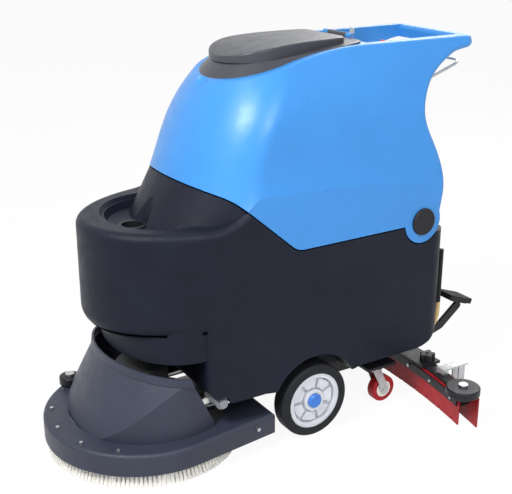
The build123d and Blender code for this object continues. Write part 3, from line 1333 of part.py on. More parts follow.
KNOB_X = ring_x(SQUEEGEE_R, KNOB_Y)
GUIDE_X = ring_x(HOLDER_IN, GUIDE_Y)
HOLDER_TOP = HOLDER_Z[1]
with BuildPart() as squeegee_holder:
    extrude(ring_strip(HOLDER_Z[0], HOLDER_IN, HOLDER_OUT, HOLDER_HALF), amount=HOLDER_TOP - HOLDER_Z[0])
    fillet(faces().sort_by(Axis.Z)[-1].edges(), HOLDER_WALL / 2)
    for _, side in SIDES:
        top_wall = level(HOLDER_TOP - HOLDER_WALL)
        extrude(disc(top_wall, (GUIDE_X, side * GUIDE_Y), GUIDE_R / 2), amount=HOLDER_WALL)
        extrude(disc(top_wall, (KNOB_X, side * KNOB_Y), STUD_R), amount=KNOB_Z[1] - HOLDER_TOP)
    extrude(disc(HOSE_FOOT, (0, 0), PORT_R + PORT_WALL), amount=HOLDER_TOP - HOLDER_WALL - HOSE_ROUTE[0][2])
    channel_arcs = (HOLDER_IN + HOLDER_WALL, HOLDER_OUT - HOLDER_WALL)
    channel = ring_strip(HOLDER_Z[0], *channel_arcs, HOLDER_HALF - HOLDER_WALL)
    extrude(channel, amount=HOLDER_TOP - HOLDER_WALL - HOLDER_Z[0], mode=Mode.SUBTRACT)
    extrude(disc(HOSE_FOOT, (0, 0), PORT_R), amount=-HOLDER_TOP, mode=Mode.SUBTRACT)
save("squeegee_holder", squeegee_holder)

with BuildPart() as front_blade:
    extrude(ring_strip(0, FRONT_IN, FRONT_IN + BLADE_T, FRONT_BLADE_HALF), amount=FRONT_BLADE_TOP)
    with BuildSketch(level(0)):
        with Locations((RING_X - SQUEEGEE_R, 0)):
            with GridLocations(0, 2 * FRONT_BLADE_HALF / NOTCH_COUNT, 1, NOTCH_COUNT):
                Rectangle(SQUEEGEE_R / 4, BLADE_T)
    extrude(amount=BLADE_NOTCH, mode=Mode.SUBTRACT)
save("front_blade", front_blade)

with BuildPart() as rear_blade:
    extrude(ring_strip(0, REAR_OUT - BLADE_T, REAR_OUT, REAR_BLADE_HALF), amount=REAR_BLADE_TOP)
save("rear_blade", rear_blade)

with BuildPart() as blade_straps:
    for inner in (FRONT_IN - SEAT - STRAP_T, REAR_OUT + SEAT):
        extrude(ring_strip(STRAP_Z[0], inner, inner + STRAP_T, HOLDER_HALF), amount=STRAP_Z[1] - STRAP_Z[0])
save("blade_straps", blade_straps)

with BuildPart() as squeegee_bolts:
    for step in range(BOLT_COUNT):
        angle = (2 * step / (BOLT_COUNT - 1) - 1) * (HOLDER_HALF - 4 * BOLT_R) / SQUEEGEE_R
        outward = Vector(-cos(angle), sin(angle), 0)
        for radius, facing in ((FRONT_IN - SEAT - STRAP_T, -1), (REAR_OUT + SEAT + STRAP_T, 1)):
            ring_middle = Vector(AXLE_X + RING_X, 0, (STRAP_Z[0] + STRAP_Z[1]) / 2)
            head = ring_middle + outward * (radius + facing * SEAT)
            with BuildSketch(Plane(origin=head, z_dir=outward * facing)):
                RegularPolygon(BOLT_R, 6)
            extrude(amount=BOLT_H)
    for _, side in SIDES:
        place = (GUIDE_X, side * GUIDE_Y)
        extrude(disc(level(HOLDER_TOP), place, 2 * GUIDE_BOLT_R), amount=GUIDE_Z[0] - AIR - HOLDER_TOP)
        extrude(disc(level(HOLDER_TOP), place, GUIDE_BOLT_R), amount=GUIDE_Z[1] + AIR - HOLDER_TOP)
        extrude(disc(level(GUIDE_Z[1] + AIR), place, 2 * GUIDE_BOLT_R), amount=GUIDE_BOLT_R)
save("squeegee_bolts", squeegee_bolts)

# Squeegee arm: two bars from the chassis to a plate on the holder, notched round the port
ARM_PLATE_Z = HOLDER_TOP + SEAT
BAR_END = (SQUEEGEE_X + HOLDER_T, ARM_PLATE_Z + BAR_R)
with BuildPart() as squeegee_arm:
    plate = block(
        level(ARM_PLATE_Z),
        (SQUEEGEE_X - HOLDER_T / 2, -KNOB_Y - KNOB_R),
        (BAR_END[0] + BAR_R, KNOB_Y + KNOB_R),
    )
    extrude(plate, amount=ARM_PLATE_T)
    for _, side in SIDES:
        bar = link(aside(side * ARM_BAR_Y), (SQUEEGEE_CROSS_X, ARM_PIVOT_Z), BAR_END, BAR_R)
        extrude(bar, amount=ARM_T / 2, both=True)
        extrude(disc(level(0), (KNOB_X, side * KNOB_Y), STUD_R + SEAT), amount=REACH, mode=Mode.SUBTRACT)
    port_half = PORT_R + 2 * PORT_WALL
    notch = block(level(0), (-REACH, -port_half), (SQUEEGEE_X + 3 * HOLDER_T / 4, port_half))
    extrude(notch, amount=REACH, mode=Mode.SUBTRACT)
    pin_hole = disc(SIDE, (SQUEEGEE_CROSS_X, ARM_PIVOT_Z), PIN_R + RUN)
    extrude(pin_hole, amount=REACH, both=True, mode=Mode.SUBTRACT)
save("squeegee_arm", squeegee_arm)

with BuildPart() as wheel_brackets:
    for _, side in SIDES:
        middle = side * SUPPORT_Y
        riser_x = ring_x(SQUEEGEE_R, SUPPORT_Y)
        cheek_y = SUPPORT_W / 2 + AIR
        top = block(
            level(SUPPORT_TOP[0]),
            (SUPPORT_X - SUPPORT_R, middle - cheek_y - SUPPORT_T),
            (riser_x + HOLDER_T / 4, middle + cheek_y + SUPPORT_T),
        )
        extrude(top, amount=SUPPORT_TOP[1] - SUPPORT_TOP[0])
        riser = block(
            level(HOLDER_TOP + SEAT),
            (riser_x - HOLDER_T / 4, middle - cheek_y - SUPPORT_T),
            (riser_x + HOLDER_T / 4, middle + cheek_y + SUPPORT_T),
        )
        extrude(riser, amount=SUPPORT_TOP[0] - HOLDER_TOP - SEAT)
        for cheek in (-1, 1):
            plate_mid = middle + cheek * (cheek_y + SUPPORT_T / 2)
            foot = (SUPPORT_X, SUPPORT_R)
            strap = link(aside(plate_mid), foot, (SUPPORT_X, SUPPORT_TOP[0]), SUPPORT_R / 2)
            extrude(strap, amount=SUPPORT_T / 2, both=True)
        extrude(disc(aside(middle), foot, STUD_R), amount=cheek_y + SUPPORT_T, both=True)
    above = block(level(SUPPORT_TOP[1]), (-REACH, -REACH), (0, REACH))
    extrude(above, amount=REACH, mode=Mode.SUBTRACT)
save("wheel_brackets", wheel_brackets)

for side_name, side in SIDES:
    with BuildPart() as support_wheel:
        wheel = disc(aside(side * SUPPORT_Y), (SUPPORT_X, SUPPORT_R), SUPPORT_R, STUD_R + RUN)
        extrude(wheel, amount=SUPPORT_W / 2, both=True)
        tread_edges = edges().filter_by(GeomType.CIRCLE).filter_by(lambda edge: edge.radius > SUPPORT_R / 2)
        fillet(tread_edges, SUPPORT_T / 2)
    save(f"{side_name}_support_wheel", support_wheel)

    with BuildPart() as star_knob:
        knob_z = ARM_PLATE_Z + ARM_PLATE_T + AIR
        with BuildSketch(level(knob_z)):
            with Locations((KNOB_X, side * KNOB_Y)):
                Circle(KNOB_R * 0.7)
                with PolarLocations(KNOB_R * 0.68, 5):
                    Circle(KNOB_R * 0.32)
                Circle(STUD_R + RUN, mode=Mode.SUBTRACT)
        extrude(amount=KNOB_Z[1] - knob_z)
    save(f"{side_name}_star_knob", star_knob)

    with BuildPart() as guide_roller:
        roller = disc(level(GUIDE_Z[0]), (GUIDE_X, side * GUIDE_Y), GUIDE_R, GUIDE_BOLT_R + RUN)
        extrude(roller, amount=GUIDE_Z[1] - GUIDE_Z[0])
        fillet(edges().filter_by(GeomType.CIRCLE).filter_by(lambda edge: edge.radius > GUIDE_R / 2), LID_WALL)
    save(f"{side_name}_guide_roller", guide_roller)

# Squeegee lever: a bent rod with a boss on its pin and a moulded grip
with BuildPart() as squeegee_lever:
    extrude(disc(aside(LEVER_Y), LEVER_PIVOT, ARM_R), amount=LEVER_R, both=True)
    rod_start = (LEVER_PIVOT[0] - ARM_R / 2, LEVER_PIVOT[1] + ARM_R / 4)
    with BuildLine(aside(LEVER_Y)) as rod:
        FilletPolyline(rod_start, LEVER_KNEE, LEVER_TIP, radius=4 * LEVER_R)
    with BuildSketch(Plane(origin=rod.line @ 0, z_dir=rod.line % 0)):
        Circle(LEVER_R)
    sweep()
    with BuildSketch(Plane(origin=rod.line @ 1, z_dir=rod.line % 1)) as grip_foot:
        Circle(GRIP_R)
    extrude(grip_foot.sketch, amount=-6 * GRIP_R)
    grip_edges = edges().filter_by(GeomType.CIRCLE)
    grip_edges = grip_edges.filter_by(lambda edge: edge.radius > LEVER_R + GRIP_R / 3)
    fillet(grip_edges.sort_by(Axis.Z)[-1], GRIP_R / 2)
    extrude(disc(SIDE, LEVER_PIVOT, PIN_R + RUN), amount=REACH, both=True, mode=Mode.SUBTRACT)
save("squeegee_lever", squeegee_lever)


# Hoses
def round_tube(points, bends, radius):
    """Round tube along straight runs joined by arcs."""
    with BuildPart() as tube:
        with BuildLine() as path:
            FilletPolyline(*points, radius=bends)
        with BuildSketch(Plane(origin=path.line @ 0, z_dir=path.line % 0)):
            Circle(radius)
        sweep()
    return tube


def loose_bends(points):
    """Largest bends that the runs beside each corner allow."""
    bends = []
    for before, corner, after in zip(points, points[1:], points[2:]):
        into = corner - before
        out = after - corner
        shorter = min(into.length, out.length)
        bends.append(0.45 * shorter / tan(radians(into.get_angle(out)) / 2))
    return bends


with BuildPart() as solution_filter:
    length = FILTER_Y[1] - FILTER_Y[0]
    extrude(disc(aside(FILTER_Y[0]), (FILTER_X, FILTER_Z), FILTER_R), amount=-length)
    extrude(disc(aside(FILTER_Y[1]), (FILTER_X, FILTER_Z), FILTER_R * 0.7), amount=-FILTER_R / 2)
    nipple = disc(across(FILTER_X, FILTER_NIPPLE_Y, FILTER_Z), (0, 0), SUPPLY_R)
    extrude(nipple, amount=FILTER_R + SUPPLY_R)
save("solution_filter", solution_filter)

supply_start = Vector(AXLE_X + FILTER_X + FILTER_R + SUPPLY_R + SEAT, FILTER_NIPPLE_Y, FILTER_Z)
supply_end = Vector(AXLE_X + SUPPLY_END[0], SUPPLY_END[1], SUPPLY_END[2])
supply_points = [
    supply_start,
    supply_start + Vector(2 * SUPPLY_R, 0, 0),
    supply_end + Vector(0, 0, 3 * SUPPLY_R),
    supply_end,
]
supply_hose = round_tube(supply_points, 2 * SUPPLY_R, SUPPLY_R)
save("supply_hose", supply_hose)

level_x = -HULL_REAR - LEVEL_R - AIR / 2
level_bottom = HULL_BOTTOM - LEVEL_R - AIR / 2
level_points = [
    Vector(AXLE_X + LEVEL_FRONT_X, LEVEL_Y, level_bottom),
    Vector(AXLE_X + level_x, LEVEL_Y, level_bottom),
    Vector(AXLE_X + level_x, LEVEL_Y, LEVEL_TOP_Z),
]
level_hose = round_tube(level_points, HULL_REAR_CURL, LEVEL_R)
save("level_hose", level_hose)

# Suction hose: straight cuffs at both ends and ribs between them
with BuildLine() as hose_path:
    FilletPolyline(*HOSE_POINTS, radius=loose_bends(HOSE_POINTS))
hose_wire = hose_path.wires()[0]
HOSE_LENGTH = hose_wire.length
RIB_TOTAL = int((HOSE_LENGTH - 4 * HOSE_R) / HOSE_PITCH)
CUFF = (HOSE_LENGTH - RIB_TOTAL * HOSE_PITCH) / 2


def hose_circle(along, radius):
    """Circle across the hose, a distance along it, turned to a steady direction."""
    place = hose_wire.position_at(along / HOSE_LENGTH)
    heading = hose_wire.tangent_at(along / HOSE_LENGTH)
    with BuildSketch(Plane(origin=place, x_dir=Vector(0, 1, 0).cross(heading), z_dir=heading)) as ring:
        Circle(radius)
    return ring.sketch


hose_rings = [hose_circle(0, HOSE_R)]
bore_rings = [hose_circle(0, HOSE_BORE_R)]
for rib in range(RIB_TOTAL):
    rib_start = CUFF + rib * HOSE_PITCH
    bore_rings.append(hose_circle(rib_start, HOSE_BORE_R))
    for share, groove in ((0, 0), (0.25, HOSE_GROOVE), (0.5, HOSE_GROOVE), (0.75, 0)):
        hose_rings.append(hose_circle(rib_start + share * HOSE_PITCH, HOSE_R - groove))
hose_rings.append(hose_circle(HOSE_LENGTH, HOSE_R))
bore_rings.append(hose_circle(HOSE_LENGTH, HOSE_BORE_R))
with BuildPart() as suction_hose:
    loft(sections=hose_rings, ruled=True)
    loft(sections=bore_rings, ruled=True, mode=Mode.SUBTRACT)
save("suction_hose", suction_hose)
print("suction hose", round(HOSE_LENGTH), "mm, bends", [round(bend) for bend in loose_bends(HOSE_POINTS)])
print("supply hose bends", round(2 * SUPPLY_R), "level hose bend", HULL_REAR_CURL)
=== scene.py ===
import bpy
import bmesh
import json
import math
import random
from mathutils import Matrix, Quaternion, Vector


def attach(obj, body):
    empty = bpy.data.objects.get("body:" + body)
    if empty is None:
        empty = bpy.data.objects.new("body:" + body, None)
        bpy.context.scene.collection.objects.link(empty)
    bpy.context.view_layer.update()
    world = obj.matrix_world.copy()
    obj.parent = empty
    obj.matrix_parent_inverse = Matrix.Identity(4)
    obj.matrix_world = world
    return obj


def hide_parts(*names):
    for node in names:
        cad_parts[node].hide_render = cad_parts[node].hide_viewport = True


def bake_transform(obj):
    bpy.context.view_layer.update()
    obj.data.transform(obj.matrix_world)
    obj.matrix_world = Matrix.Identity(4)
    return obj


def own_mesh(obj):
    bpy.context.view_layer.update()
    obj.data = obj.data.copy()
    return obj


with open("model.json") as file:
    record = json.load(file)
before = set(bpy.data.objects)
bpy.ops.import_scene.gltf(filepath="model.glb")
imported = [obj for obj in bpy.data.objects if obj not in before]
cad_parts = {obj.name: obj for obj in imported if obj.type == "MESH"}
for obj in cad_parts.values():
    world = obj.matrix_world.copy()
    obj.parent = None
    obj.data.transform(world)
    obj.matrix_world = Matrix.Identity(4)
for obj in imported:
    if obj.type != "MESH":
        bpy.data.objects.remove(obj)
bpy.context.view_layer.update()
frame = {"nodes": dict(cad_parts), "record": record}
NODES = frame["nodes"]

# Frame: metres, +X forward, +Y left, +Z up, origin on the floor under the middle
AXLE_X = -0.0285

# Hoses: the control points of a route are forward of the axle, left of the middle and above the floor
ROUTE_STEPS = 30  # steps of a route's smooth curve from one control point to the next
HOSE_SIDES = 28
THIN_SIDES = 20

# Suction hose, and the folded boot on its lower end
HOSE_ROUTE = (
    (-0.424, 0, 0.124),
    (-0.450, 0, 0.202),
    (-0.474, 0.030, 0.280),
    (-0.480, 0.066, 0.358),
    (-0.480, 0.096, 0.436),
    (-0.466, 0.105, 0.505),
    (-0.426, 0.105, 0.574),
)
HOSE_R = 0.023
HOSE_PITCH = 0.012
HOSE_GROOVE = 0.003
HOSE_STEP = HOSE_PITCH / 8
BOOT_LENGTH = 0.056
BOOT_STEP = BOOT_LENGTH / 40
BOOT_FOOT = 0.017
BOOT_R = 0.0245
BOOT_FOLD = 0.005
BOOT_FOLDS = 4
BOOT_PLAIN = 0.25  # share of the boot below its folds
BOOT_FOLDED = 0.6  # share of the boot that its folds take up
BOOT_GRIP = 0.004  # a point this far along the route is found, but nothing uses it

# Supply hose from the filter to the brush deck
SUPPLY_ROUTE = ((0.286, 0.180, 0.160), (0.302, 0.180, 0.160), (0.328, 0.168, 0.124), (0.328, 0.168, 0.100))
SUPPLY_R = 0.008
SUPPLY_STEP = SUPPLY_R / 4

# Level hose up the tank's rear, with a thin black skin on its upper part that is painted shade where the
# hose runs behind the tank
LEVEL_ROUTE = (
    (-0.300, 0.196, 0.15275),
    (-0.345, 0.196, 0.1525),
    (-0.380, 0.196, 0.1535),
    (-0.4365, 0.196, 0.210),
    (-0.43725, 0.196, 0.260),
    (-0.43725, 0.196, 0.420),
)
LEVEL_R = 0.007
LEVEL_STEP = LEVEL_R / 2
# The hose's black skin from this height up is painted shade, not a real sleeve
SHADE_SKIN_FOOT = 0.265
SHADE_SKIN_WALL = 0.0002

# Brush: rings of tufts by radius and count, with the strands in each
BRUSH_X = AXLE_X + 0.377
TUFT_RINGS = ((0.227, 138, 26), (0.210, 118, 12), (0.193, 98, 6))
TUFT_SEED = 7
TUFT_TOP = 0.037
TUFT_FOOT = 0.0004
TUFT_UNEVEN = 0.0012  # most that a strand ends above the foot
TUFT_SPREAD = 0.0132
TUFT_R = 0.0045
TUFT_NECK = 0.6  # width of a tuft at its top, as a share of its width at the foot
TUFT_CORE = 0.1  # share of a tuft's area, at its middle, that has no strands
STRAND_R = 0.0013
STRAND_CORNERS = (0.8, 2.4, 4.0, 5.5)  # directions in radians

# Camera of the photograph, 512 by 494 pixels
CAMERA_PLACE = (1.2641, 2.0225, 1.3255)
CAMERA_TARGET = (0.0052, 0.0, 0.4561)
SENSOR_W = 36
FOCAL_PX = 966.3
PHOTO_W = 512

# Studio: the lamps are rows of name, place, target, size and power
FLOOR_REACH = 30
FLOOR_ROUGHNESS = 0.7
FLOOR_GLOW = 0.93  # share of the floor that shows as plain white
WORLD_LIGHT = 0.32
LAMPS = (
    ("key", (2.2, 0.9, 3.0), (0.2, 0, 0.5), 1.1, 108),
    ("side", (0.3, 3.0, 2.6), (-0.1, 0, 0.5), 1.6, 56),
    ("back", (-2.6, -1.8, 2.6), (0, 0, 0.6), 2.0, 50),
)

# Colours in sRGB
BLUE = (58, 135, 208)
BLACK_MOULD = (22, 26, 39)
DECK_BLACK = (50, 54, 69)
# Lid colour: the lid's own black, lightened to paint in its sheen
LID_BLACK_AND_SHEEN = (58, 60, 67)
TYRE_BLACK = (22, 24, 29)
HUB_GREY = (206, 209, 216)
CAP_BLUE = (52, 116, 204)
ZINC = (186, 188, 190)
RED = (158, 26, 34)
STOP_RED = (204, 28, 30)
NYLON_WHITE = (232, 231, 226)
BRISTLE_WHITE = (232, 230, 224)
SATIN_BLACK = (28, 29, 33)
CAST_BLACK = (24, 24, 27)
TAN = (200, 170, 118)
PALE_HOSE = (214, 214, 208)
FILTER_GREY = (128, 131, 136)
MOTOR_GREY = (64, 65, 68)
BATTERY_GREY = (54, 55, 58)
FLOOR_WHITE = (252, 252, 252)
PURE_WHITE = (1, 1, 1, 1)  # scene-linear

# Noise in the finishes
NOISE_BAND = (0.3, 0.7)  # part of a noise texture's range that a finish runs through
NOISE_ROUGHNESS = 0.55
DRIFT_DETAIL = 4.0


def linear(colour):
    """Scene-linear colour of an sRGB triple."""
    def channel(value):
        value /= 255
        return value / 12.92 if value <= 0.04045 else ((value + 0.055) / 1.055) ** 2.4
    return tuple(channel(value) for value in colour) + (1.0,)


class Shader:
    """A node material under construction, with its principled shader and object coordinates."""

    def __init__(self, name, roughness, metallic=0.0, specular=0.5):
        self.material = bpy.data.materials.new(name)
        self.material.use_nodes = True
        self.tree = self.material.node_tree
        self.bsdf = self.tree.nodes["Principled BSDF"]
        self.bsdf.inputs["Roughness"].default_value = roughness
        self.bsdf.inputs["Metallic"].default_value = metallic
        self.bsdf.inputs["Specular IOR Level"].default_value = specular
        self.coords = self.node("ShaderNodeTexCoord").outputs["Object"]

    def node(self, kind, **inputs):
        """New node with the values of its inputs."""
        made = self.tree.nodes.new(kind)
        for key, value in inputs.items():
            made.inputs[key].default_value = value
        return made

    def link(self, start, end):
        self.tree.links.new(start, end)

    def noise(self, scale, detail):
        """Noise through the object at a given scale."""
        texture = self.node("ShaderNodeTexNoise", Scale=scale, Detail=detail, Roughness=NOISE_ROUGHNESS)
        self.link(self.coords, texture.inputs["Vector"])
        return texture.outputs["Fac"]

    def colour(self, base, spread, scale):
        """Base colour that drifts by a share of itself over a given scale."""
        low = tuple(part * (1 - spread) for part in base[:3]) + (1.0,)
        high = tuple(min(1.0, part * (1 + spread)) for part in base[:3]) + (1.0,)
        ramp = self.node("ShaderNodeValToRGB")
        for element, place, shade in zip(ramp.color_ramp.elements, NOISE_BAND, (low, high)):
            element.position = place
            element.color = shade
        self.link(self.noise(scale, DRIFT_DETAIL), ramp.inputs["Fac"])
        self.link(ramp.outputs["Color"], self.bsdf.inputs["Base Color"])

    def gloss(self, low, high, scale):
        """Roughness that wanders between two values."""
        spread = self.node("ShaderNodeMapRange")
        spread.inputs["From Min"].default_value = NOISE_BAND[0]
        spread.inputs["From Max"].default_value = NOISE_BAND[1]
        spread.inputs["To Min"].default_value = low
        spread.inputs["To Max"].default_value = high
        self.link(self.noise(scale, DRIFT_DETAIL), spread.inputs["Value"])
        self.link(spread.outputs["Result"], self.bsdf.inputs["Roughness"])

    def bump(self, height, depth, strength=1.0):
        """Relief of a given depth, on top of any relief that is there already."""
        bump = self.node("ShaderNodeBump", Strength=strength, Distance=depth)
        self.link(height, bump.inputs["Height"])
        if self.bsdf.inputs["Normal"].is_linked:
            self.link(self.bsdf.inputs["Normal"].links[0].from_socket, bump.inputs["Normal"])
        self.link(bump.outputs["Normal"], self.bsdf.inputs["Normal"])


def moulded(name, colour, roughness, grain=900, depth=0.00012, spread=0.06, specular=0.4):
    """Rotomoulded or injection moulded plastic with a fine grain and a slow drift of colour."""
    shader = Shader(name, roughness, specular=specular)
    shader.colour(linear(colour), spread, scale=9)
    shader.gloss(low=roughness - 0.06, high=roughness + 0.08, scale=40)
    shader.bump(shader.noise(grain, detail=2.0), depth)
    shader.bump(shader.noise(scale=14, detail=2.0), depth=0.0006, strength=0.5)
    return shader.material


def rubber(name, colour, roughness=0.6, grain=500, depth=0.0002, specular=0.25):
    """Rubber, urethane or vinyl with a dull, mottled surface."""
    shader = Shader(name, roughness, specular=specular)
    shader.colour(linear(colour), spread=0.16, scale=22)
    shader.gloss(low=roughness - 0.08, high=roughness + 0.12, scale=60)
    shader.bump(shader.noise(grain, detail=3.0), depth)
    return shader.material


def metal(name, colour, roughness):
    """Plated metal with a very fine grain."""
    shader = Shader(name, roughness, metallic=1.0)
    shader.colour(linear(colour), spread=0.1, scale=60)
    shader.gloss(low=roughness - 0.08, high=roughness + 0.12, scale=120)
    shader.bump(shader.noise(scale=700, detail=3.0), depth=0.00005)
    return shader.material


def painted(name, colour, roughness=0.45):
    """Enamel paint with a slight orange peel."""
    shader = Shader(name, roughness, specular=0.3)
    shader.colour(linear(colour), spread=0.08, scale=15)
    shader.gloss(low=roughness - 0.08, high=roughness + 0.1, scale=70)
    shader.bump(shader.noise(scale=260, detail=3.0), depth=0.00012)
    return shader.material


MATERIALS = {
    "black_moulding": moulded(
        "grained_black", BLACK_MOULD, roughness=0.42, grain=330, depth=0.0009, spread=0.12, specular=0.15
    ),
    "blue_moulding": moulded("grained_blue", BLUE, roughness=0.33, grain=500, depth=0.0002, spread=0.03),
    # The lid's base colour is lightened as a painted sheen
    "lid_black": moulded("lid_black_and_painted_sheen", LID_BLACK_AND_SHEEN, roughness=0.34, depth=0.00006, spread=0.08),
    "deck_black": moulded(
        "deck_grain", DECK_BLACK, roughness=0.4, grain=330, depth=0.001, spread=0.1, specular=0.3
    ),
    "tyre_rubber": rubber("tyre_rubber", TYRE_BLACK, roughness=0.62),
    "wheel_grey": moulded("wheel_grey", HUB_GREY, roughness=0.4, grain=600, depth=0.0001, spread=0.05),
    "cap_blue": moulded("cap_blue", CAP_BLUE, roughness=0.3, grain=700, depth=0.00005, spread=0.04),
    "steel": metal("zinc_plate", ZINC, roughness=0.34),
    "frame_paint": painted("black_enamel", SATIN_BLACK),
    "white_plastic": moulded(
        "white_nylon", NYLON_WHITE, roughness=0.42, grain=600, depth=0.00006, spread=0.03
    ),
    "red_urethane": rubber("red_urethane", RED, roughness=0.42, grain=300, depth=0.00008),
    "bristle_white": moulded(
        "white_bristle", BRISTLE_WHITE, roughness=0.5, grain=400, depth=0.00005, spread=0.05
    ),
    "black_plastic": moulded(
        "satin_black", SATIN_BLACK, roughness=0.38, grain=800, depth=0.00008, spread=0.1, specular=0.25
    ),
    "black_rubber": rubber("black_rubber", SATIN_BLACK, roughness=0.55),
    "squeegee_alloy": painted("cast_enamel", CAST_BLACK, roughness=0.5),
    "stop_red": moulded("stop_red", STOP_RED, roughness=0.25, grain=700, depth=0.00003, spread=0.04),
    "clear_tan": rubber("aged_vinyl", TAN, roughness=0.28, grain=200, depth=0.00005),
    "clear_white": rubber("pale_vinyl", PALE_HOSE, roughness=0.3, grain=200, depth=0.00005),
    "filter_grey": moulded("filter_grey", FILTER_GREY, roughness=0.4),
    "motor_metal": painted("motor_enamel", MOTOR_GREY),
    "battery_case": moulded("battery_case", BATTERY_GREY, roughness=0.5),
}

# Finish of the carried-over solids
SLOTS = {part["node"]: part["material_slot"] for part in frame["record"]["subparts"]}
for node_name, node in NODES.items():
    node.data.materials.clear()
    node.data.materials.append(MATERIALS[SLOTS[node_name]])


def from_axle(points):
    """Points in the machine's frame from places beside the axle."""
    return [Vector((AXLE_X + x, y, z)) for x, y, z in points]


def smooth_line(points):
    """Points along the smooth curve that a route's control points give."""
    curve = bpy.data.curves.new("route", "CURVE")
    curve.dimensions = "3D"
    spline = curve.splines.new("NURBS")
    spline.points.add(len(points) - 1)
    for knot, place in zip(spline.points, points):
        knot.co = (*place, 1.0)
    spline.order_u = 3
    spline.use_endpoint_u = True
    spline.resolution_u = ROUTE_STEPS
    holder = bpy.data.objects.new("route", curve)
    mesh = bpy.data.meshes.new_from_object(holder)
    line = [vertex.co.copy() for vertex in mesh.vertices]
    bpy.data.objects.remove(holder)
    bpy.data.curves.remove(curve)
    bpy.data.meshes.remove(mesh)
    return line


def line_length(line):
    """Length of a line of points."""
    return sum((end - start).length for start, end in zip(line, line[1:]))


def along(line, distance):
    """Point at a distance along a line of points."""
    for start, end in zip(line, line[1:]):
        run = (end - start).length
        if distance <= run:
            return start.lerp(end, distance / run)
        distance -= run
    return line[-1].copy()


def spaced(line, step, start=0.0):
    """Points at even steps along a line, from a distance along it to its end."""
    total = line_length(line)
    count = max(2, round((total - start) / step))
    return [along(line, start + (total - start) * index / count) for index in range(count + 1)]


def new_piece(name, builder, slot_name, smooth=True):
    """Object made from a mesh under construction, with a slot's finish."""
    mesh = bpy.data.meshes.new(name)
    builder.to_mesh(mesh)
    builder.free()
    for face in mesh.polygons:
        face.use_smooth = smooth
    piece = bpy.data.objects.new(name, mesh)
    bpy.context.collection.objects.link(piece)
    mesh.materials.append(MATERIALS[slot_name])
    return piece


def tube(name, line, radii, slot_name, sides):
    """Closed round tube along a line of points, with its radius at each."""
    builder = bmesh.new()
    heading = (line[1] - line[0]).normalized()
    across = heading.orthogonal().normalized()
    rings = []
    for index, place in enumerate(line):
        ahead = (line[min(index + 1, len(line) - 1)] - line[max(index - 1, 0)]).normalized()
        across.rotate(heading.rotation_difference(ahead))
        heading = ahead
        spokes = [Quaternion(heading, 2 * math.pi * side / sides) @ across for side in range(sides)]
        rings.append([builder.verts.new(place + radii[index] * spoke) for spoke in spokes])
    for lower, upper in zip(rings, rings[1:]):
        for side in range(sides):
            beside = (side + 1) % sides
            builder.faces.new((lower[side], lower[beside], upper[beside], upper[side]))
    builder.faces.new(rings[0][::-1])
    builder.faces.new(rings[-1])
    return new_piece(name, builder, slot_name)


def wave(share):
    """Smooth fold, 0 at the ends of each turn and 1 between them."""
    return 0.5 - 0.5 * math.cos(2 * math.pi * share)


def suction_hose():
    """Ribbed hose to the recovery tank, and the boot that joins it to the squeegee's port."""
    route = smooth_line(from_axle(HOSE_ROUTE))
    line = spaced(route, HOSE_STEP, BOOT_LENGTH)
    run = line_length(line)
    step = run / (len(line) - 1)
    radii = [HOSE_R - HOSE_GROOVE * wave(index * step / HOSE_PITCH) for index in range(len(line))]
    hose = tube("suction_hose_tube", line, radii, "black_rubber", HOSE_SIDES)
    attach(hose, "chassis")
    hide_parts("suction_hose")
    foot = route[0] - (route[1] - route[0]).normalized() * BOOT_FOOT
    boot_and_shade_skin = spaced([foot] + route, BOOT_STEP)
    boot_and_shade_skin = boot_and_shade_skin[: round((BOOT_LENGTH + 2 * BOOT_FOOT) / BOOT_STEP)]
    folds = []
    for index in range(len(boot_and_shade_skin)):
        share = (index / (len(boot_and_shade_skin) - 1) - BOOT_PLAIN) / BOOT_FOLDED
        folds.append(BOOT_R + (BOOT_FOLD * wave(share * BOOT_FOLDS) if 0 < share < 1 else 0))
    boot = tube("suction_boot", boot_and_shade_skin, folds, "black_rubber", HOSE_SIDES)
    along(route, BOOT_GRIP)
    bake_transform(boot)
    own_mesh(hose)


def supply_hose():
    """Short hose from the filter to the brush deck."""
    line = spaced(smooth_line(from_axle(SUPPLY_ROUTE)), SUPPLY_STEP)
    hose = tube("supply_hose_tube", line, [SUPPLY_R] * len(line), "clear_white", THIN_SIDES)
    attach(hose, "chassis")
    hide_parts("supply_hose")
    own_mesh(hose)


def level_hose():
    """Hose that shows the water's level, with a thin black skin of painted shade on its upper part."""
    line = spaced(smooth_line(from_axle(LEVEL_ROUTE)), LEVEL_STEP)
    hose = tube("level_hose_tube", line, [LEVEL_R] * len(line), "clear_tan", THIN_SIDES)
    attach(hose, "chassis")
    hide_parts("level_hose")
    upright = [place for place in line if place.z > SHADE_SKIN_FOOT]
    radii = [LEVEL_R + SHADE_SKIN_WALL] * len(upright)
    # Thin black skin over the upper hose: painted shade where the hose runs behind the tank
    boot_and_shade_skin = tube("level_painted_shade_skin", upright, radii, "black_rubber", THIN_SIDES)
    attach(boot_and_shade_skin, "chassis")


def strand(builder, top, foot):
    """Thin four-sided strand between two points."""
    corners = [Vector((math.cos(turn), math.sin(turn), 0)) for turn in STRAND_CORNERS]
    upper = [builder.verts.new(top + STRAND_R * corner) for corner in corners]
    lower = [builder.verts.new(foot + STRAND_R * corner) for corner in corners]
    for side in range(len(corners)):
        beside = (side + 1) % len(corners)
        builder.faces.new((lower[side], lower[beside], upper[beside], upper[side]))
    builder.faces.new(lower[::-1])
    builder.faces.new(upper)


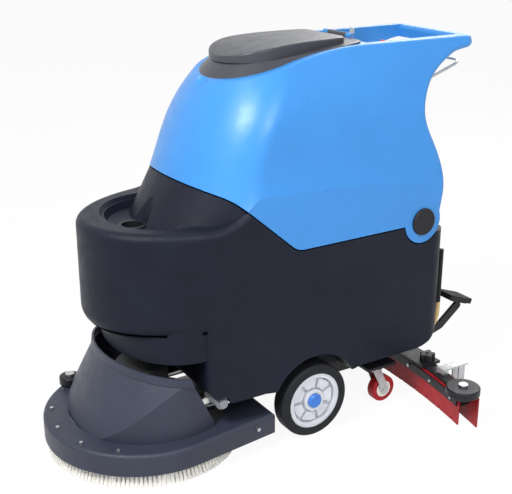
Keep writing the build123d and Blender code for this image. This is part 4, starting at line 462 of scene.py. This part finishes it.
def bristles():
    """Tufts of separate strands that spread toward the floor."""
    chance = random.Random(TUFT_SEED)
    builder = bmesh.new()
    for radius, tufts, strands in TUFT_RINGS:
        for tuft in range(tufts):
            angle = 2 * math.pi * tuft / tufts
            outward = Vector((math.cos(angle), math.sin(angle), 0))
            sideways = Vector((-outward.y, outward.x, 0))
            for index in range(strands):
                turn = 2 * math.pi * (index + chance.random()) / strands
                reach = TUFT_R * math.sqrt(chance.uniform(TUFT_CORE, 1))
                offset = reach * (math.cos(turn) * outward + math.sin(turn) * sideways)
                top = Vector((BRUSH_X, 0, TUFT_TOP)) + radius * outward + TUFT_NECK * offset
                foot = Vector((BRUSH_X, 0, TUFT_FOOT)) + (radius + TUFT_SPREAD) * outward + offset
                foot.z += chance.uniform(0, TUFT_UNEVEN)
                strand(builder, top, foot)
    piece = new_piece("bristle_tufts", builder, "bristle_white", smooth=False)
    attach(piece, "brush")
    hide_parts("brush_bristles")


def seen_directly(tree):
    """1 for rays from the camera and for reflections and views through glass, else 0."""
    path = tree.nodes.new("ShaderNodeLightPath")
    seen = path.outputs["Is Camera Ray"]
    for name in ("Is Glossy Ray", "Is Transmission Ray"):
        larger = tree.nodes.new("ShaderNodeMath")
        larger.operation = "MAXIMUM"
        tree.links.new(seen, larger.inputs[0])
        tree.links.new(path.outputs[name], larger.inputs[1])
        seen = larger.outputs["Value"]
    return seen


def floor():
    """White floor that keeps the machine's shadow."""
    mesh = bpy.data.meshes.new("floor")
    builder = bmesh.new()
    bmesh.ops.create_grid(builder, x_segments=1, y_segments=1, size=FLOOR_REACH)
    builder.to_mesh(mesh)
    builder.free()
    piece = bpy.data.objects.new("floor", mesh)
    bpy.context.collection.objects.link(piece)
    look = bpy.data.materials.new("floor_white")
    look.use_nodes = True
    tree = look.node_tree
    surface = tree.nodes["Principled BSDF"]
    surface.inputs["Base Color"].default_value = linear(FLOOR_WHITE)
    surface.inputs["Roughness"].default_value = FLOOR_ROUGHNESS
    glow = tree.nodes.new("ShaderNodeEmission")
    mix = tree.nodes.new("ShaderNodeMixShader")
    share = tree.nodes.new("ShaderNodeMath")
    share.operation = "MULTIPLY"
    share.inputs[1].default_value = FLOOR_GLOW
    tree.links.new(seen_directly(tree), share.inputs[0])
    tree.links.new(share.outputs["Value"], mix.inputs["Fac"])
    tree.links.new(surface.outputs["BSDF"], mix.inputs[1])
    tree.links.new(glow.outputs["Emission"], mix.inputs[2])
    tree.links.new(mix.outputs["Shader"], tree.nodes["Material Output"].inputs["Surface"])
    mesh.materials.append(look)


def world_light():
    """Soft light from all round, with a white background."""
    world = bpy.data.worlds.new("studio")
    bpy.context.scene.world = world
    world.use_nodes = True
    tree = world.node_tree
    light = tree.nodes["Background"]
    light.inputs["Color"].default_value = PURE_WHITE
    light.inputs["Strength"].default_value = WORLD_LIGHT
    white = tree.nodes.new("ShaderNodeBackground")
    white.inputs["Color"].default_value = PURE_WHITE
    mix = tree.nodes.new("ShaderNodeMixShader")
    tree.links.new(seen_directly(tree), mix.inputs["Fac"])
    tree.links.new(light.outputs["Background"], mix.inputs[1])
    tree.links.new(white.outputs["Background"], mix.inputs[2])
    tree.links.new(mix.outputs["Shader"], tree.nodes["World Output"].inputs["Surface"])


def aimed(name, data, place, target):
    """Lamp or camera at a place, turned toward a target."""
    holder = bpy.data.objects.new(name, data)
    holder.location = place
    holder.rotation_euler = (Vector(target) - Vector(place)).to_track_quat("-Z", "Y").to_euler()
    bpy.context.collection.objects.link(holder)
    return holder


def lamps():
    """Soft area lamps of the studio."""
    for name, place, target, size, power in LAMPS:
        lamp = bpy.data.lights.new(name, "AREA")
        lamp.energy = power
        lamp.size = size
        aimed(name, lamp, place, target)


def photo_camera():
    """Camera at the photograph's viewing angle."""
    lens = bpy.data.cameras.new("photo_camera")
    lens.sensor_width = SENSOR_W
    lens.lens = FOCAL_PX / PHOTO_W * SENSOR_W
    bpy.context.scene.camera = aimed("photo_camera", lens, CAMERA_PLACE, CAMERA_TARGET)


suction_hose()
supply_hose()
level_hose()
bristles()
floor()
world_light()
lamps()
photo_camera()
bpy.context.scene.view_settings.view_transform = "Standard"
